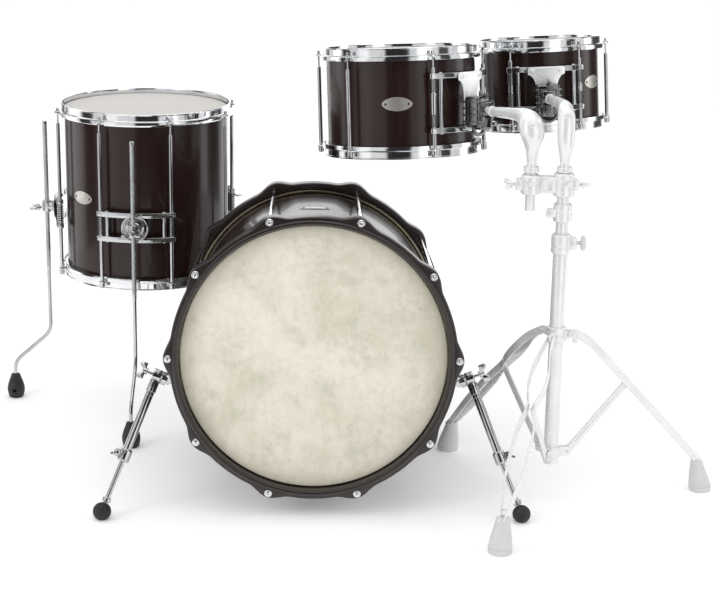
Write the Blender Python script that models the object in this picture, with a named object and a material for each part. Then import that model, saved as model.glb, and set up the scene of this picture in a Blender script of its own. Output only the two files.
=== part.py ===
"""Drum kit: bass drum, floor tom, two rack toms and the double tom stand.

Every drum is a shell with two heads, two hoops and its rods.  Lengths are in
metres and angles in degrees; +Z is up, the front of the bass drum faces -Y,
towards the audience, and +X points towards the tom stand.
"""
import math

import bmesh
import bpy
from mathutils import Matrix, Vector

# Clearances shared by every mating pair
GAP = 0.0003            # between pieces that touch
RUNNING_GAP = 0.0006    # round a rod or tube that slides
FILM = 0.0006           # thickness of a drum head
CUT_MARGIN = 0.050      # how far a cut runs past what it cuts

# Bass drum, 20 x 18 inch, lying on its rear hoop and two spurs
BASS_TILT = 4.11        # front raised by the spurs
BASS_SHELL_RADIUS = 0.2525
BASS_SHELL_DEPTH = 0.457
BASS_SHELL_WALL = 0.008
BASS_LUGS = 10
BASS_FACETS = 27
BASS_HOOP_MARGIN = 0.0205   # shell to the hoop's outer edge
BASS_HOOP_RADIUS = BASS_SHELL_RADIUS + BASS_HOOP_MARGIN
BASS_HOOP_LOBE = 0.0125
BASS_HOOP_DEPTH = 0.038
BASS_HOOP_BEAD = 0.005
BASS_BEAD_MARGIN = 0.0140   # shell to where the bead meets the flat rim
BASS_BEAD_EDGE = BASS_SHELL_RADIUS + BASS_BEAD_MARGIN
BASS_HOOP_LIP = 0.0055  # radial width of the lip over the flesh hoop
BASS_ROD_MARGIN = 0.0225    # shell to the rods
BASS_ROD_CIRCLE = BASS_SHELL_RADIUS + BASS_ROD_MARGIN
BASS_ROD_RADIUS = 0.0038
BASS_WASHER_RADIUS = 0.0078
BASS_FLESH_RISE = 0.009
BASS_FLESH_HEIGHT = 0.012
BASS_HEAD_RECESS = 0.0197
BASS_HEAD_HEIGHT = 0.0060   # screw head in front of the hoop
BASS_HEAD_CROWN = 0.0048    # radius where the head's dome starts
BASS_BEAD_DROP = 0.003      # bead's inner edge behind the hoop's face
BASS_LIP_PLAY = 0.0012      # hoop's inner wall to the head's collar
BASS_LOBE_HALF = 9.0        # degrees each side of a lug
BASS_SPAN = BASS_SHELL_DEPTH + 2.0 * (BASS_HEAD_RECESS + FILM + GAP)

# Rack toms and floor tom: nominal 12, 10 and 14 inch shells
SHELL_WALL = 0.006
HOOP_OFFSET = 0.0040    # shell to the inside of a steel hoop
HOOP_WALL = 0.0023
HOOP_RISE = 0.012       # hoop above its head
HOOP_LIP = 0.0078       # shell to the outer edge of the rolled lip
HOOP_FLANGE = 0.0125    # shell to the outer edge of the flange
EAR_TOP = 0.0065        # half width of an ear at its tip
EAR_BASE = 0.0150       # half width of an ear where it leaves the flange
FLESH_RISE = 0.008
FLESH_HEIGHT = 0.006
FLESH_INNER = 0.0010
FLESH_OUTER = 0.0055
COLLAR = 0.0018
EAR_MARGIN = 0.0065     # ear beyond the rod's axis
ROD_RADIUS = 0.0041
ROD_SIDES = 5
ROD_PLAY = 0.0004        # round a rod in its hoop
ROD_HEAD_RADIUS = 0.0043
ROD_HEAD_HEIGHT = 0.009
ROD_WASHER_RADIUS = 0.0062
ROD_HOOK_LENGTH = 0.004

FLOOR_TOM_RADIUS = 0.1765
FLOOR_TOM_HEIGHT = 0.356
FLOOR_TOM_ROD_CIRCLE = 0.1953
FLOOR_TOM_LUGS = 8
FLOOR_TOM_FACETS = 24
FLOOR_TOM_BESIDE = 0.0979   # bass hoop's edge to the floor tom's axis
FLOOR_TOM_BEHIND = 0.1633   # bass drum's length to the floor tom's axis
FLOOR_TOM_PLACE = (-(BASS_HOOP_RADIUS + FLOOR_TOM_BESIDE), BASS_SPAN + FLOOR_TOM_BEHIND, 0.3201)
FLOOR_TOM_FIRST_ROD = -24.94

LEFT_TOM_RADIUS = 0.1510
LEFT_TOM_HEIGHT = 0.195
LEFT_TOM_ROD_CIRCLE = 0.1689
LEFT_TOM_OFFSET = (-0.2929, 0.3061, 0.0338)     # from the twin holder
LEFT_TOM_LEAN = (-5.91, -2.35)
LEFT_TOM_FIRST_ROD = 19.72

RIGHT_TOM_RADIUS = 0.1256
RIGHT_TOM_HEIGHT = 0.170
RIGHT_TOM_ROD_CIRCLE = 0.1435
RIGHT_TOM_OFFSET = (0.0193, 0.5179, 0.0521)     # from the twin holder
RIGHT_TOM_LEAN = (-5.37, -3.45)
RIGHT_TOM_FIRST_ROD = 28.59
TOM_LUGS = 6
TOM_FACETS = 20

# Clamping brackets that ride on two neighbouring rods
BAR_HEIGHT = 0.0125
BAR_DEPTH = 0.0125
BAR_OVERHANG = 0.0085
POST_RADIUS = 0.0045
POST_SIDES = 5
POST_END = 0.0085        # bar centre to the end of a post screw
POST_SETBACK = 0.0155   # from a rod to the post beside it
SPRING_WIRE = 0.0016
SPRING_EMBED = 0.0012       # wire let into the bars it sits between
SPRING_RADIUS = 0.0058
SLEEVE_RADIUS = 0.0077
SLEEVE_SIDES = 6
LEG_BAR_HEIGHTS = (0.1025, 0.1555)
LEG_SPRING_TURNS = 1.5
LEFT_TOM_BAR_HEIGHTS = (0.043, 0.150)
RIGHT_TOM_BAR_HEIGHTS = (0.040, 0.122)
TOM_SPRING_TURNS = 1.5
TOM_SPRING_LENGTH = 0.022
PLATE_WIDE = 0.034          # half width of the mount's plate at its top
PLATE_NARROW = 0.021        # half width lower down
PLATE_SHOULDER = 0.016      # upper bar to where the plate narrows
PLATE_WAIST = 0.050         # upper bar to where it is narrow
PLATE_GAUGE = 0.003
PLATE_SEAT = 0.002          # plate let into the bars
STEM = (0.018, 0.030, 0.022)
STEM_OUT = 0.012            # bars to the stem's middle
ARM_CLAMP = (0.028, 0.028, 0.030)
ARM_CLAMP_OUT = 0.036       # rods to the clamp's middle
LEFT_CLAMP_HEIGHT = 0.083
RIGHT_CLAMP_HEIGHT = 0.068
MOUNT_WING_SPAN = 0.034

# Floor tom legs
LEG_RADIUS = 0.0050
LEG_CIRCLE = 0.2238
LEG_TOP = 0.640
LEG_KNEE_TOP = 0.158
LEG_KNEE_BOTTOM = 0.084
LEG_SPLAY = 0.084
LEG_FOOT_RADIUS = 0.0195
LEG_FOOT_HEIGHT = 0.055
LEG_FOOT_SIDES = 8
LEG_FOOT_SHAPE = ((0.615, 0.0), (0.93, 0.182), (1.0, 0.4), (0.78, 0.727), (0.487, 1.0))
LEG_FOOT_SOCKET = 0.016     # floor to the end of the rod in its foot
DISC_RADIUS = 0.0285
DISC_THICKNESS = 0.0030
DISC_SIDES = 9
CLAMP_WIDTH = 0.024
CLAMP_HEIGHT = 0.026
CLAMP_SEAT = 0.002          # clamp let into its disc
CLAMP_WALL = 0.006          # clamp in front of the leg
LEG_CLAMP_END = LEG_CIRCLE + LEG_RADIUS + CLAMP_WALL
CLAMP_SIDES = 6             # facets of a leg's bore
SCREW_DROP = 0.004          # wing screw below the middle of the bracket
NOTCH_SLACK = 0.0008        # notch taller than its bar
LEG_BEND = 0.014            # start of a bend before its corner

# Wing screws
WING_HUB_RADIUS = 0.0060
WING_SPAN = 0.038
WING_HEIGHT = 0.013
WING_THICKNESS = 0.0045
WING_STEM = 0.010
WING_STEM_RADIUS = 0.0030
WING_HUB_HEIGHT = 0.012
WING_SEAT = 0.004           # wings above the foot of the hub
WING_DIP = 0.005            # valley between the wings
WING_ROOT = 0.003           # wing's lower edge at its tip
WING_KEEL = 0.002           # wings below their seat, inside the hub
MOUNT_STEM = 0.004          # short stems of the leg and tom clamps

# Bass drum spurs
SPUR_ANGLE = 100.0          # round the shell from its top
SPUR_STATION = 0.085        # behind the front hoop's face
SPUR_REACH = 0.0565         # shell to the fold axis
SPUR_SPLAY = 0.1476         # shell to the ball, outwards
SPUR_FOOT = (BASS_SHELL_RADIUS + SPUR_SPLAY, -0.0373)
SPUR_SIDES = 8
SPUR_TUBE_RADIUS = 0.0085
SPUR_TUBE_BORE = 0.0060
SPUR_TUBE_LENGTH = 0.165
SPUR_ROD_RADIUS = 0.0050
SPUR_ROD_INSIDE = 0.060     # fold axis to the rod's upper end
SPUR_COLLAR_RADIUS = 0.0125
SPUR_COLLAR_LENGTH = 0.026
SPUR_BALL_RADIUS = 0.0175
SPUR_BALL_FLAT = 0.0022      # the rubber gives this much on the floor
SPUR_KNUCKLE_RADIUS = 0.0130
SPUR_KNUCKLE_WIDTH = 2 * SPUR_TUBE_RADIUS + 0.0006
SPUR_KNUCKLE_BACK = 0.0120   # fixed half of the knuckle
SPUR_PLATE = (0.048, 0.044, 0.005)
SPUR_WEB = (0.018, 0.022)
SPUR_TUBE_START = 0.004     # fold axis to the tube's upper end
SPUR_BORE_ABOVE = 0.045     # bore above the rod's upper end
SPUR_BORE_BELOW = 0.050     # bore past the tube's lower end
SPUR_LUG = (0.020, 0.012, 0.016)
SPUR_LUG_OUT = 0.010        # tube's axis to the middle of the clamp's lug
SPUR_WING_OUT = 0.018       # tube's axis to the clamp's wing
SPUR_WING = (0.006, 0.030)  # stem and span of the clamp's wing
SPUR_FOLD_WING_SPAN = 0.034
SPUR_ROD_END = 0.004        # rod's lower end above the ball's middle
SPUR_LOCK_RADIUS = 0.0085
SPUR_LOCK = (0.010, 0.002)  # lock collar's ends above the ball

# Tom stand
STAND_BESIDE = 0.1976               # bass hoop's edge to the tube's axis
STAND_PLACE = (BASS_HOOP_RADIUS + STAND_BESIDE, 0.102)
STAND_FIRST_LEG = -23.9
STAND_FOOT_CIRCLE = 0.3166
TUBE_SIDES = 10
TUBE_RADIUS = 0.0143
TUBE_BORE = 0.0127
TUBE_BOTTOM = 0.068
TUBE_TOP = 0.530
HUB_RADIUS = 0.0190
HUB_HEIGHT = 0.024
HUB_PIVOT = (0.0330, 0.0920)        # radius and height of a strut's pivot
COLLAR_RADIUS = 0.0190
COLLAR_HEIGHT = 0.030
COLLAR_PIVOT = (0.0370, 0.3350)     # radius and height of a leg's pivot
STAND_LEG_BEND = (0.0700, 0.3160)
LEG_JOINT = (0.1460, 0.2330)        # where a strut meets its leg
LEG_TOE = (0.2800, 0.0870)          # where the bars enter the rubber foot
BAR_WIDTH = 0.0125
BAR_GAUGE = 0.0030
BAR_SPREAD = 0.0170                 # half the distance between a leg's bars
PIVOT_SPREAD = 0.0055
STRUT_GAUGE = 0.0050
STRUT_WIDTH = 0.0110
PIVOT_RADIUS = 0.0042
PIVOT_SIDES = 6
BUSH_END = 0.003                    # bush past the leg's bars
EAR_END = 0.006                     # ear past its pivot
STRUT_END = 0.006                   # strut past its pivot and its eye
STRUT_DROP = 0.002                  # strut's eye below the leg's middle
UPPER_BOW = (0.35, 0.72)            # where the bars are bowed apart
LOWER_BOW = (0.25, 0.60)
BAR_IN_BOOT = 0.012
BOOT_TOP = 0.006                    # boot above where the bars enter it
BOOT_RIM = 0.010                    # height of the boot's widest ring
BEND_SPREAD = 0.003                 # bars further apart at their bend
CLAMP_RADIUS = 0.0190
CLAMP_SLEEVE = 0.034
CLAMP_LIP = 0.004                   # height clamp above the tube's end
CLAMP_BOSS = (0.016, 0.018, 0.024)
CLAMP_BOSS_OUT = 0.003              # height clamp to its boss's middle
CLAMP_BOSS_DROP = 0.014             # tube's end to the boss's middle
SEAT_BITE = 0.0008                  # rings let into the tube they are fixed to
HUB_EAR = (0.003, 0.020)
STRUT_SLOT = STRUT_GAUGE + 2 * RUNNING_GAP
TONGUE_HEIGHT = 0.018
TONGUE_END = 0.007                  # tongue past its pivot
TONGUE_WIDTH = 2 * (PIVOT_SPREAD - BAR_GAUGE / 2 - RUNNING_GAP)
SCREW_BITE = 0.002                  # screws and tongues let into their ring
COLLAR_SCREW_TURN = -25.0
COLLAR_WING_SPAN = 0.032
UPPER_TUBE_RADIUS = 0.0117
UPPER_TUBE_BOTTOM = 0.300
HOLDER_HEIGHT = 0.607
HOLDER_DEPTH = 0.046
HOLDER_RADIUS = 0.0200
HOLDER_SPACING = 0.063
HOLDER_SEAT = 0.006                 # upper tube inside the right socket
HOLDER_STEP = 0.004                 # left socket shorter at either end
HOLDER_WEB = (0.022, 0.012)         # width, and how much lower than a socket
HOLDER_BOSS = (0.014, 0.016, 0.022)
HOLDER_BOSS_OUT = 0.002             # socket to its boss's middle
MEMORY_DROP = 0.048                 # holder to the memory clamp's lower face
MEMORY_RADIUS = 0.0180
MEMORY_LENGTH = 0.034
MEMORY_LUG = (0.020, 0.012, 0.018)
MEMORY_LUG_PLACE = (-0.022, -0.006)
POST_ROD_RADIUS = 0.0095
POST_STUB = 0.028
ARM_SIDES = 10
ARM_ROD_RADIUS = 0.0060
ARM_BODY_RADIUS = 0.0115
ARM_SHOULDER_RADIUS = 0.0175
ARM_ROD_END = 0.030         # clamp's middle to either end of the rod
ARM_NECK = 0.042            # clamp's middle to where the casting starts
ARM_ELBOW = 0.045           # where the casting starts to turn down
ARM_DROP = 0.052            # depth of the turn
POST_SHOULDER = 0.012       # casting above the holder
POST_SEAT = 0.008           # right post above the holder's lower face
SOCKET_PLAY = 0.001         # right post above the floor of its socket
ARM_WING_STEM = 0.005
ARM_WING_TURN = 70.0
KNOB_RADIUS = 0.0150
KNOB_THICKNESS = 0.0090
KNOB_SHANK = (0.0040, 0.0, 0.010)   # radius, start and end
KNOB_START = 0.008                  # boss to the grip
KNOB_OVAL = 0.62

CHROME = ((0.80, 0.81, 0.82), 0.10, 1.0)
PALE_CHROME = ((0.86, 0.87, 0.88), 0.28, 0.6)
LACQUER = ((0.028, 0.019, 0.018), 0.12, 0.0)
HOOP_FINISH = ((0.030, 0.020, 0.018), 0.28, 0.0)
PARCHMENT = ((0.70, 0.66, 0.53), 0.55, 0.0)
COATED = ((0.86, 0.86, 0.84), 0.60, 0.0)
CLEAR_FILM = ((0.55, 0.56, 0.56), 0.30, 0.0)
RUBBER = ((0.020, 0.020, 0.021), 0.75, 0.0)


QUARTER_ABOUT_X = Matrix.Rotation(math.radians(90.0), 4, "X")
QUARTER_ABOUT_Y = Matrix.Rotation(math.radians(90.0), 4, "Y")


# Small geometry tools

def polar(radius, angle, height=0.0):
    """Point at an angle measured from -Y towards +X, as the lugs are."""
    turn = math.radians(angle)
    return Vector((radius * math.sin(turn), -radius * math.cos(turn), height))


def frame(origin, z_axis, x_hint):
    """Placement whose Z is z_axis and whose X lies near x_hint."""
    z = Vector(z_axis).normalized()
    y = z.cross(Vector(x_hint)).normalized()
    x = y.cross(z)
    turn = Matrix((x, y, z)).transposed().to_4x4()
    return Matrix.Translation(Vector(origin)) @ turn


def moved(solid, matrix):
    """The bmesh solid, moved by a matrix."""
    bmesh.ops.transform(solid, matrix=matrix, verts=solid.verts)
    return solid


def closed(solid):
    """The bmesh solid with its faces pointing out."""
    bmesh.ops.recalc_face_normals(solid, faces=solid.faces)
    return solid


def ringed(rows, closed_rows):
    """Solid through rows of points; a row of one point is a pole."""
    solid = bmesh.new()
    made = [[solid.verts.new(point) for point in row] for row in rows]
    pairs = list(zip(made, made[1:]))
    if closed_rows:
        pairs.append((made[-1], made[0]))
    for lower, upper in pairs:
        count = max(len(lower), len(upper))
        for i in range(count):
            j = (i + 1) % count
            if len(lower) == 1:
                solid.faces.new((lower[0], upper[j], upper[i]))
            elif len(upper) == 1:
                solid.faces.new((lower[i], lower[j], upper[0]))
            else:
                solid.faces.new((lower[i], lower[j], upper[j], upper[i]))
    return closed(solid)


def turned(profile, sides, phase=0.0):
    """Solid of revolution about Z from (radius, height) points."""
    rows = []
    for radius, height in profile:
        if radius == 0.0:
            rows.append([Vector((0.0, 0.0, height))])
        else:
            rows.append([polar(radius, phase + 360.0 * i / sides, height) for i in range(sides)])
    return ringed(rows, closed_rows=profile[0][0] > 0.0)


def rod(radius, start, end, sides=8, phase=0.0):
    """Round bar along Z between two heights."""
    return turned([(0.0, start), (radius, start), (radius, end), (0.0, end)], sides, phase)


def bore(radius, clearance, start, end, sides=8):
    """Cutter whose flats clear a round bar of the radius."""
    return rod((radius + clearance) / math.cos(math.pi / sides), start, end, sides)


def lobed(profile, lugs, first, offsets, reach):
    """Ring about Z whose (radius, height, weight) points swell at each lug.

    offsets maps an angle from the lug to the share of the reach there.
    """
    stations = []
    for lug in range(lugs):
        for offset, share in offsets:
            stations.append((first + 360.0 * lug / lugs + offset, share))
    rows = []
    for radius, height, weight in profile:
        rows.append([polar(radius + reach * weight * share, angle, height) for angle, share in stations])
    return ringed(rows, closed_rows=True)


def swept(points, radii, sides, flat=1.0):
    """Round tube through points, with a radius for each one."""
    points = [Vector(point) for point in points]
    rows = []
    side = None
    for i, point in enumerate(points):
        before = points[max(i - 1, 0)]
        after = points[min(i + 1, len(points) - 1)]
        along = (after - before).normalized()
        if side is None:
            side = along.orthogonal().normalized()
        side = (side - along * side.dot(along)).normalized()
        up = along.cross(side)
        ring = []
        for k in range(sides):
            turn = 2.0 * math.pi * k / sides
            ring.append(point + radii[i] * (math.cos(turn) * side + flat * math.sin(turn) * up))
        rows.append(ring)
    return ringed([[points[0]]] + rows + [[points[-1]]], closed_rows=False)


def strap(points, width, gauge, across):
    """Flat bar through points, its gauge along the vector across."""
    points = [Vector(point) for point in points]
    rows = []
    for i, point in enumerate(points):
        before = points[max(i - 1, 0)]
        after = points[min(i + 1, len(points) - 1)]
        along = (after - before).normalized()
        side = (across - along * across.dot(along)).normalized()
        up = along.cross(side)
        corners = ((-1, -1), (1, -1), (1, 1), (-1, 1))
        rows.append([point + side * (a * gauge / 2) + up * (b * width / 2) for a, b in corners])
    return bar_of(rows)


def bar_of(rows):
    """Closed bar through rows of four corners."""
    solid = bmesh.new()
    made = [[solid.verts.new(corner) for corner in row] for row in rows]
    for lower, upper in zip(made, made[1:]):
        for k in range(4):
            n = (k + 1) % 4
            solid.faces.new((lower[k], lower[n], upper[n], upper[k]))
    solid.faces.new(made[0])
    solid.faces.new(made[-1])
    return closed(solid)


def block(size, centre=(0.0, 0.0, 0.0), taper=1.0):
    """Box with its top face scaled by taper."""
    x, y, z = (side / 2 for side in size)
    low = [Vector((a * x, b * y, -z)) for a, b in ((-1, -1), (1, -1), (1, 1), (-1, 1))]
    high = [Vector((point.x * taper, point.y * taper, z)) for point in low]
    solid = bmesh.new()
    bottom = [solid.verts.new(point + Vector(centre)) for point in low]
    top = [solid.verts.new(point + Vector(centre)) for point in high]
    for k in range(4):
        n = (k + 1) % 4
        solid.faces.new((bottom[k], bottom[n], top[n], top[k]))
    solid.faces.new(bottom)
    solid.faces.new(top)
    return closed(solid)


def prism(outline, low, high):
    """Outline in X and Y, extruded from one height to another."""
    solid = bmesh.new()
    bottom = [solid.verts.new((x, y, low)) for x, y in outline]
    top = [solid.verts.new((x, y, high)) for x, y in outline]
    for k in range(len(outline)):
        n = (k + 1) % len(outline)
        solid.faces.new((bottom[k], bottom[n], top[n], top[k]))
    solid.faces.new(bottom)
    solid.faces.new(top)
    return closed(solid)


def bent_bar(line, height):
    """Bracket bar along a line of points in plan, at one height."""
    points = [Vector((point.x, point.y, height)) for point in line]
    rows = []
    for i, point in enumerate(points):
        before = points[max(i - 1, 0)]
        after = points[min(i + 1, len(points) - 1)]
        along = (after - before).normalized()
        out = Vector((along.y, -along.x, 0.0))
        up = Vector((0.0, 0.0, 1.0))
        corners = ((-1, -1), (1, -1), (1, 1), (-1, 1))
        rows.append([point + out * (a * BAR_DEPTH / 2) + up * (b * BAR_HEIGHT / 2) for a, b in corners])
    return bar_of(rows)


# Springs are one unbroken round wire, written as a curve

CURL_POINTS = 8
SPRING_GAPS = []


def spring_wire(low, high, turns):
    """Points of a compression spring about Z, with straight square ends."""
    embed = SPRING_EMBED
    straight = SPRING_WIRE
    start = low + straight
    rise = (high - straight) - start
    steps = round(turns * CURL_POINTS)
    points = [Vector((SPRING_RADIUS, 0.0, low - embed))]
    for i in range(steps + 1):
        turn = 2.0 * math.pi * i / CURL_POINTS
        height = start + rise * i / steps
        points.append(Vector((SPRING_RADIUS * math.cos(turn), SPRING_RADIUS * math.sin(turn), height)))
    last = 2.0 * math.pi * steps / CURL_POINTS
    points.append(Vector((SPRING_RADIUS * math.cos(last), SPRING_RADIUS * math.sin(last), high + embed)))
    coil = points[1:-1]
    least = min((coil[i + CURL_POINTS] - coil[i]).length for i in range(len(coil) - CURL_POINTS))
    SPRING_GAPS.append(least - SPRING_WIRE)
    return points


def spring(low, high, turns):
    """Closed bmesh of one spring."""
    curve = bpy.data.curves.new("spring_wire", "CURVE")
    curve.dimensions = "3D"
    curve.bevel_depth = SPRING_WIRE / 2
    curve.bevel_resolution = 1
    curve.use_fill_caps = True
    points = spring_wire(low, high, turns)
    line = curve.splines.new("POLY")
    line.points.add(len(points) - 1)
    for place, point in zip(line.points, points):
        place.co = (*point, 1.0)
    carrier = bpy.data.objects.new("spring_wire", curve)
    bpy.context.collection.objects.link(carrier)
    bpy.context.view_layer.update()
    mesh = carrier.evaluated_get(bpy.context.evaluated_depsgraph_get()).to_mesh()
    solid = bmesh.new()
    solid.from_mesh(mesh)
    bmesh.ops.remove_doubles(solid, verts=solid.verts, dist=1e-6)
    bpy.data.objects.remove(carrier)
    bpy.data.curves.remove(curve)
    return closed(solid)


# Objects, materials and joins

def clear_scene():
    """Remove the objects of the opening scene."""
    for item in list(bpy.data.objects):
        bpy.data.objects.remove(item, do_unlink=True)


def material(name, finish):
    """Principled material with a colour, roughness and metallic value."""
    colour, roughness, metallic = finish
    made = bpy.data.materials.new(name)
    made.use_nodes = True
    shader = made.node_tree.nodes["Principled BSDF"]
    shader.inputs["Base Color"].default_value = (*colour, 1.0)
    shader.inputs["Roughness"].default_value = roughness
    shader.inputs["Metallic"].default_value = metallic
    return made


def mesh_of(name, solid):
    """Mesh datablock of a bmesh, shaded smooth between its sharp edges."""
    mesh = bpy.data.meshes.new(name)
    solid.to_mesh(mesh)
    solid.free()
    mesh.shade_smooth()
    mesh.set_sharp_from_angle(angle=math.radians(35.0))
    return mesh


def joined(name, solids, cuts=()):
    """One mesh: the union of the solids, less the cuts."""
    base = bpy.data.objects.new(name, mesh_of(name, solids[0]))
    bpy.context.collection.objects.link(base)
    helpers = []
    steps = [(solid, "UNION") for solid in solids[1:]] + [(cut, "DIFFERENCE") for cut in cuts]
    for solid, operation in steps:
        helper = bpy.data.objects.new(name + "_tool", mesh_of(name, solid))
        helper.hide_render = True
        helper.display_type = "WIRE"
        bpy.context.collection.objects.link(helper)
        step = base.modifiers.new(operation.lower(), "BOOLEAN")
        step.operation = operation
        step.solver = "EXACT"
        step.object = helper
        helpers.append(helper)
    bpy.context.view_layer.update()
    seen = base.evaluated_get(bpy.context.evaluated_depsgraph_get())
    mesh = bpy.data.meshes.new_from_object(seen)
    for item in helpers + [base]:
        bpy.data.objects.remove(item, do_unlink=True)
    tidy = bmesh.new()
    tidy.from_mesh(mesh)
    bmesh.ops.remove_doubles(tidy, verts=tidy.verts, dist=2e-6)
    bmesh.ops.dissolve_degenerate(tidy, edges=tidy.edges, dist=2e-6)
    return tidy


def empty(name, matrix, parent=None):
    """Empty that carries pieces; matrix is its place in the kit."""
    holder = bpy.data.objects.new(name, None)
    bpy.context.collection.objects.link(holder)
    attach(holder, matrix, parent)
    return holder


PLACES = {}  # place of every empty and piece in the kit, by name


def attach(item, matrix, parent):
    """Parent an item, keeping its place in the kit."""
    PLACES[item.name] = matrix
    item.parent = parent
    if parent is None:
        item.matrix_local = matrix
    else:
        item.matrix_local = PLACES[parent.name].inverted() @ matrix


def piece(name, solid, finish, parent, matrix=None):
    """Named object of one solid, with its own material."""
    item = bpy.data.objects.new(name, mesh_of(name, solid))
    item.data.materials.append(material(name + "_finish", finish))
    bpy.context.collection.objects.link(item)
    attach(item, PLACES[parent.name] if matrix is None else matrix, parent)
    return item


# Parts shared by the drums

def shell(radius, wall, low, high, sides, phase):
    """Open cylinder."""
    inner = radius - wall
    return turned([(radius, low), (radius, high), (inner, high), (inner, low)], sides, phase)


def head(radius, edge, outward, rise, flesh_height, sides, phase):
    """Drum head over a bearing edge, with its collar and flesh hoop."""
    inside = edge + outward * GAP
    face = inside + outward * FILM
    flesh_top = face - outward * rise
    flesh_bottom = flesh_top - outward * flesh_height
    return turned([
        (0.0, face),
        (radius + COLLAR, face),
        (radius + COLLAR, flesh_top),
        (radius + FLESH_OUTER, flesh_top),
        (radius + FLESH_OUTER, flesh_bottom),
        (radius + FLESH_INNER, flesh_bottom),
        (radius + FLESH_INNER, inside),
        (0.0, inside),
    ], sides, phase)


def lug_bump(width):
    """Offsets and shares of a rounded lobe, this many degrees each side."""
    outer = 0.8 * width
    edge = math.cos(math.radians(90.0 * 0.8)) ** 2
    inner = 0.3 * width
    share = math.cos(math.radians(90.0 * 0.3)) ** 2
    return [(-outer, edge), (-inner, share), (inner, share), (outer, edge)]


def ear_bump(circle, half_top, half_base, spacing):
    """Offsets and shares of a flat-topped ear on a circle of rods."""
    top = math.degrees(half_top / circle)
    base = math.degrees(half_base / circle)
    third = base + (spacing - 2.0 * base) / 3
    return [(-base, 0.0), (-top, 1.0), (top, 1.0), (base, 0.0), (third, 0.0), (spacing - third, 0.0)]


# Bass drum

BASS_HEIGHT = (BASS_HOOP_RADIUS * math.cos(math.radians(BASS_TILT))
               + BASS_SPAN * math.sin(math.radians(BASS_TILT)))
BASS_PLACE = (Matrix.Translation((0.0, 0.0, BASS_HEIGHT))
              @ Matrix.Rotation(math.radians(-90.0 - BASS_TILT), 4, "X"))
BASS_EDGE = BASS_HEAD_RECESS + FILM + GAP
BASS_LIP_BACK = BASS_HEAD_RECESS + BASS_FLESH_RISE - GAP
BASS_INNER_WALL = BASS_SHELL_RADIUS + COLLAR + BASS_LIP_PLAY
# A facet of the shell faces each spur, so its plate seats flat.
BASS_PHASE = SPUR_ANGLE + 180.0 / BASS_FACETS


def wood_hoop(front, outward):
    """Scalloped hoop with a raised bead; outward is -1 at the front."""
    inner = BASS_INNER_WALL
    skirt = inner + BASS_HOOP_LIP
    crown = (inner + BASS_BEAD_EDGE) / 2
    profile = [
        (inner, front - outward * BASS_BEAD_DROP, 0.0),
        (crown, front + outward * BASS_HOOP_BEAD, 0.0),
        (BASS_BEAD_EDGE, front, 0.0),
        (BASS_HOOP_RADIUS, front, 1.0),
        (BASS_HOOP_RADIUS, front - outward * BASS_HOOP_DEPTH, 1.0),
        (skirt, front - outward * BASS_HOOP_DEPTH, 0.0),
        (skirt, front - outward * BASS_LIP_BACK, 0.0),
        (inner, front - outward * BASS_LIP_BACK, 0.0),
    ]
    spacing = 360.0 / BASS_LUGS
    offsets = lug_bump(BASS_LOBE_HALF) + [(spacing / 2, 0.0)]
    return lobed(profile, BASS_LUGS, 90.0, offsets, BASS_HOOP_LOBE)


def bass_rod():
    """Rod through both hoops, with its washer and screw head in front."""
    front = -GAP
    return turned([
        (0.0, front - BASS_HEAD_HEIGHT),
        (BASS_HEAD_CROWN, front - 0.92 * BASS_HEAD_HEIGHT),
        (BASS_WASHER_RADIUS, front),
        (BASS_ROD_RADIUS, front),
        (BASS_ROD_RADIUS, BASS_SPAN - BASS_HOOP_DEPTH / 2),
        (0.0, BASS_SPAN - BASS_HOOP_DEPTH / 2),
    ], ROD_SIDES)


def build_bass(kit):
    """Shell, heads, hoops and rods of the bass drum."""
    drum = empty("bass_drum", BASS_PLACE, kit)
    rear_edge = BASS_SPAN - BASS_EDGE
    sides = (BASS_FACETS, BASS_PHASE)
    flesh = (BASS_FLESH_RISE, BASS_FLESH_HEIGHT)
    body = shell(BASS_SHELL_RADIUS, BASS_SHELL_WALL, BASS_EDGE, rear_edge, *sides)
    piece("bass_shell", body, LACQUER, drum)
    piece("bass_front_head", head(BASS_SHELL_RADIUS, BASS_EDGE, -1, *flesh, *sides), PARCHMENT, drum)
    piece("bass_batter_head", head(BASS_SHELL_RADIUS, rear_edge, 1, *flesh, *sides), COATED, drum)
    spacing = 360.0 / BASS_LUGS
    seats = [Matrix.Translation(polar(BASS_ROD_CIRCLE, 90.0 + spacing * k)) for k in range(BASS_LUGS)]
    past = BASS_HOOP_DEPTH + CUT_MARGIN
    holes = [moved(bore(BASS_ROD_RADIUS, ROD_PLAY, -CUT_MARGIN, past, ROD_SIDES), seat) for seat in seats]
    piece("bass_front_hoop", joined("bass_front_hoop", [wood_hoop(0.0, -1)], holes), HOOP_FINISH, drum)
    rods = [moved(bass_rod(), seat) for seat in seats]
    piece("bass_rear_hoop", joined("bass_rear_hoop", [wood_hoop(BASS_SPAN, 1)] + rods), HOOP_FINISH, drum)


# Wing screws, shared by every clamp

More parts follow.
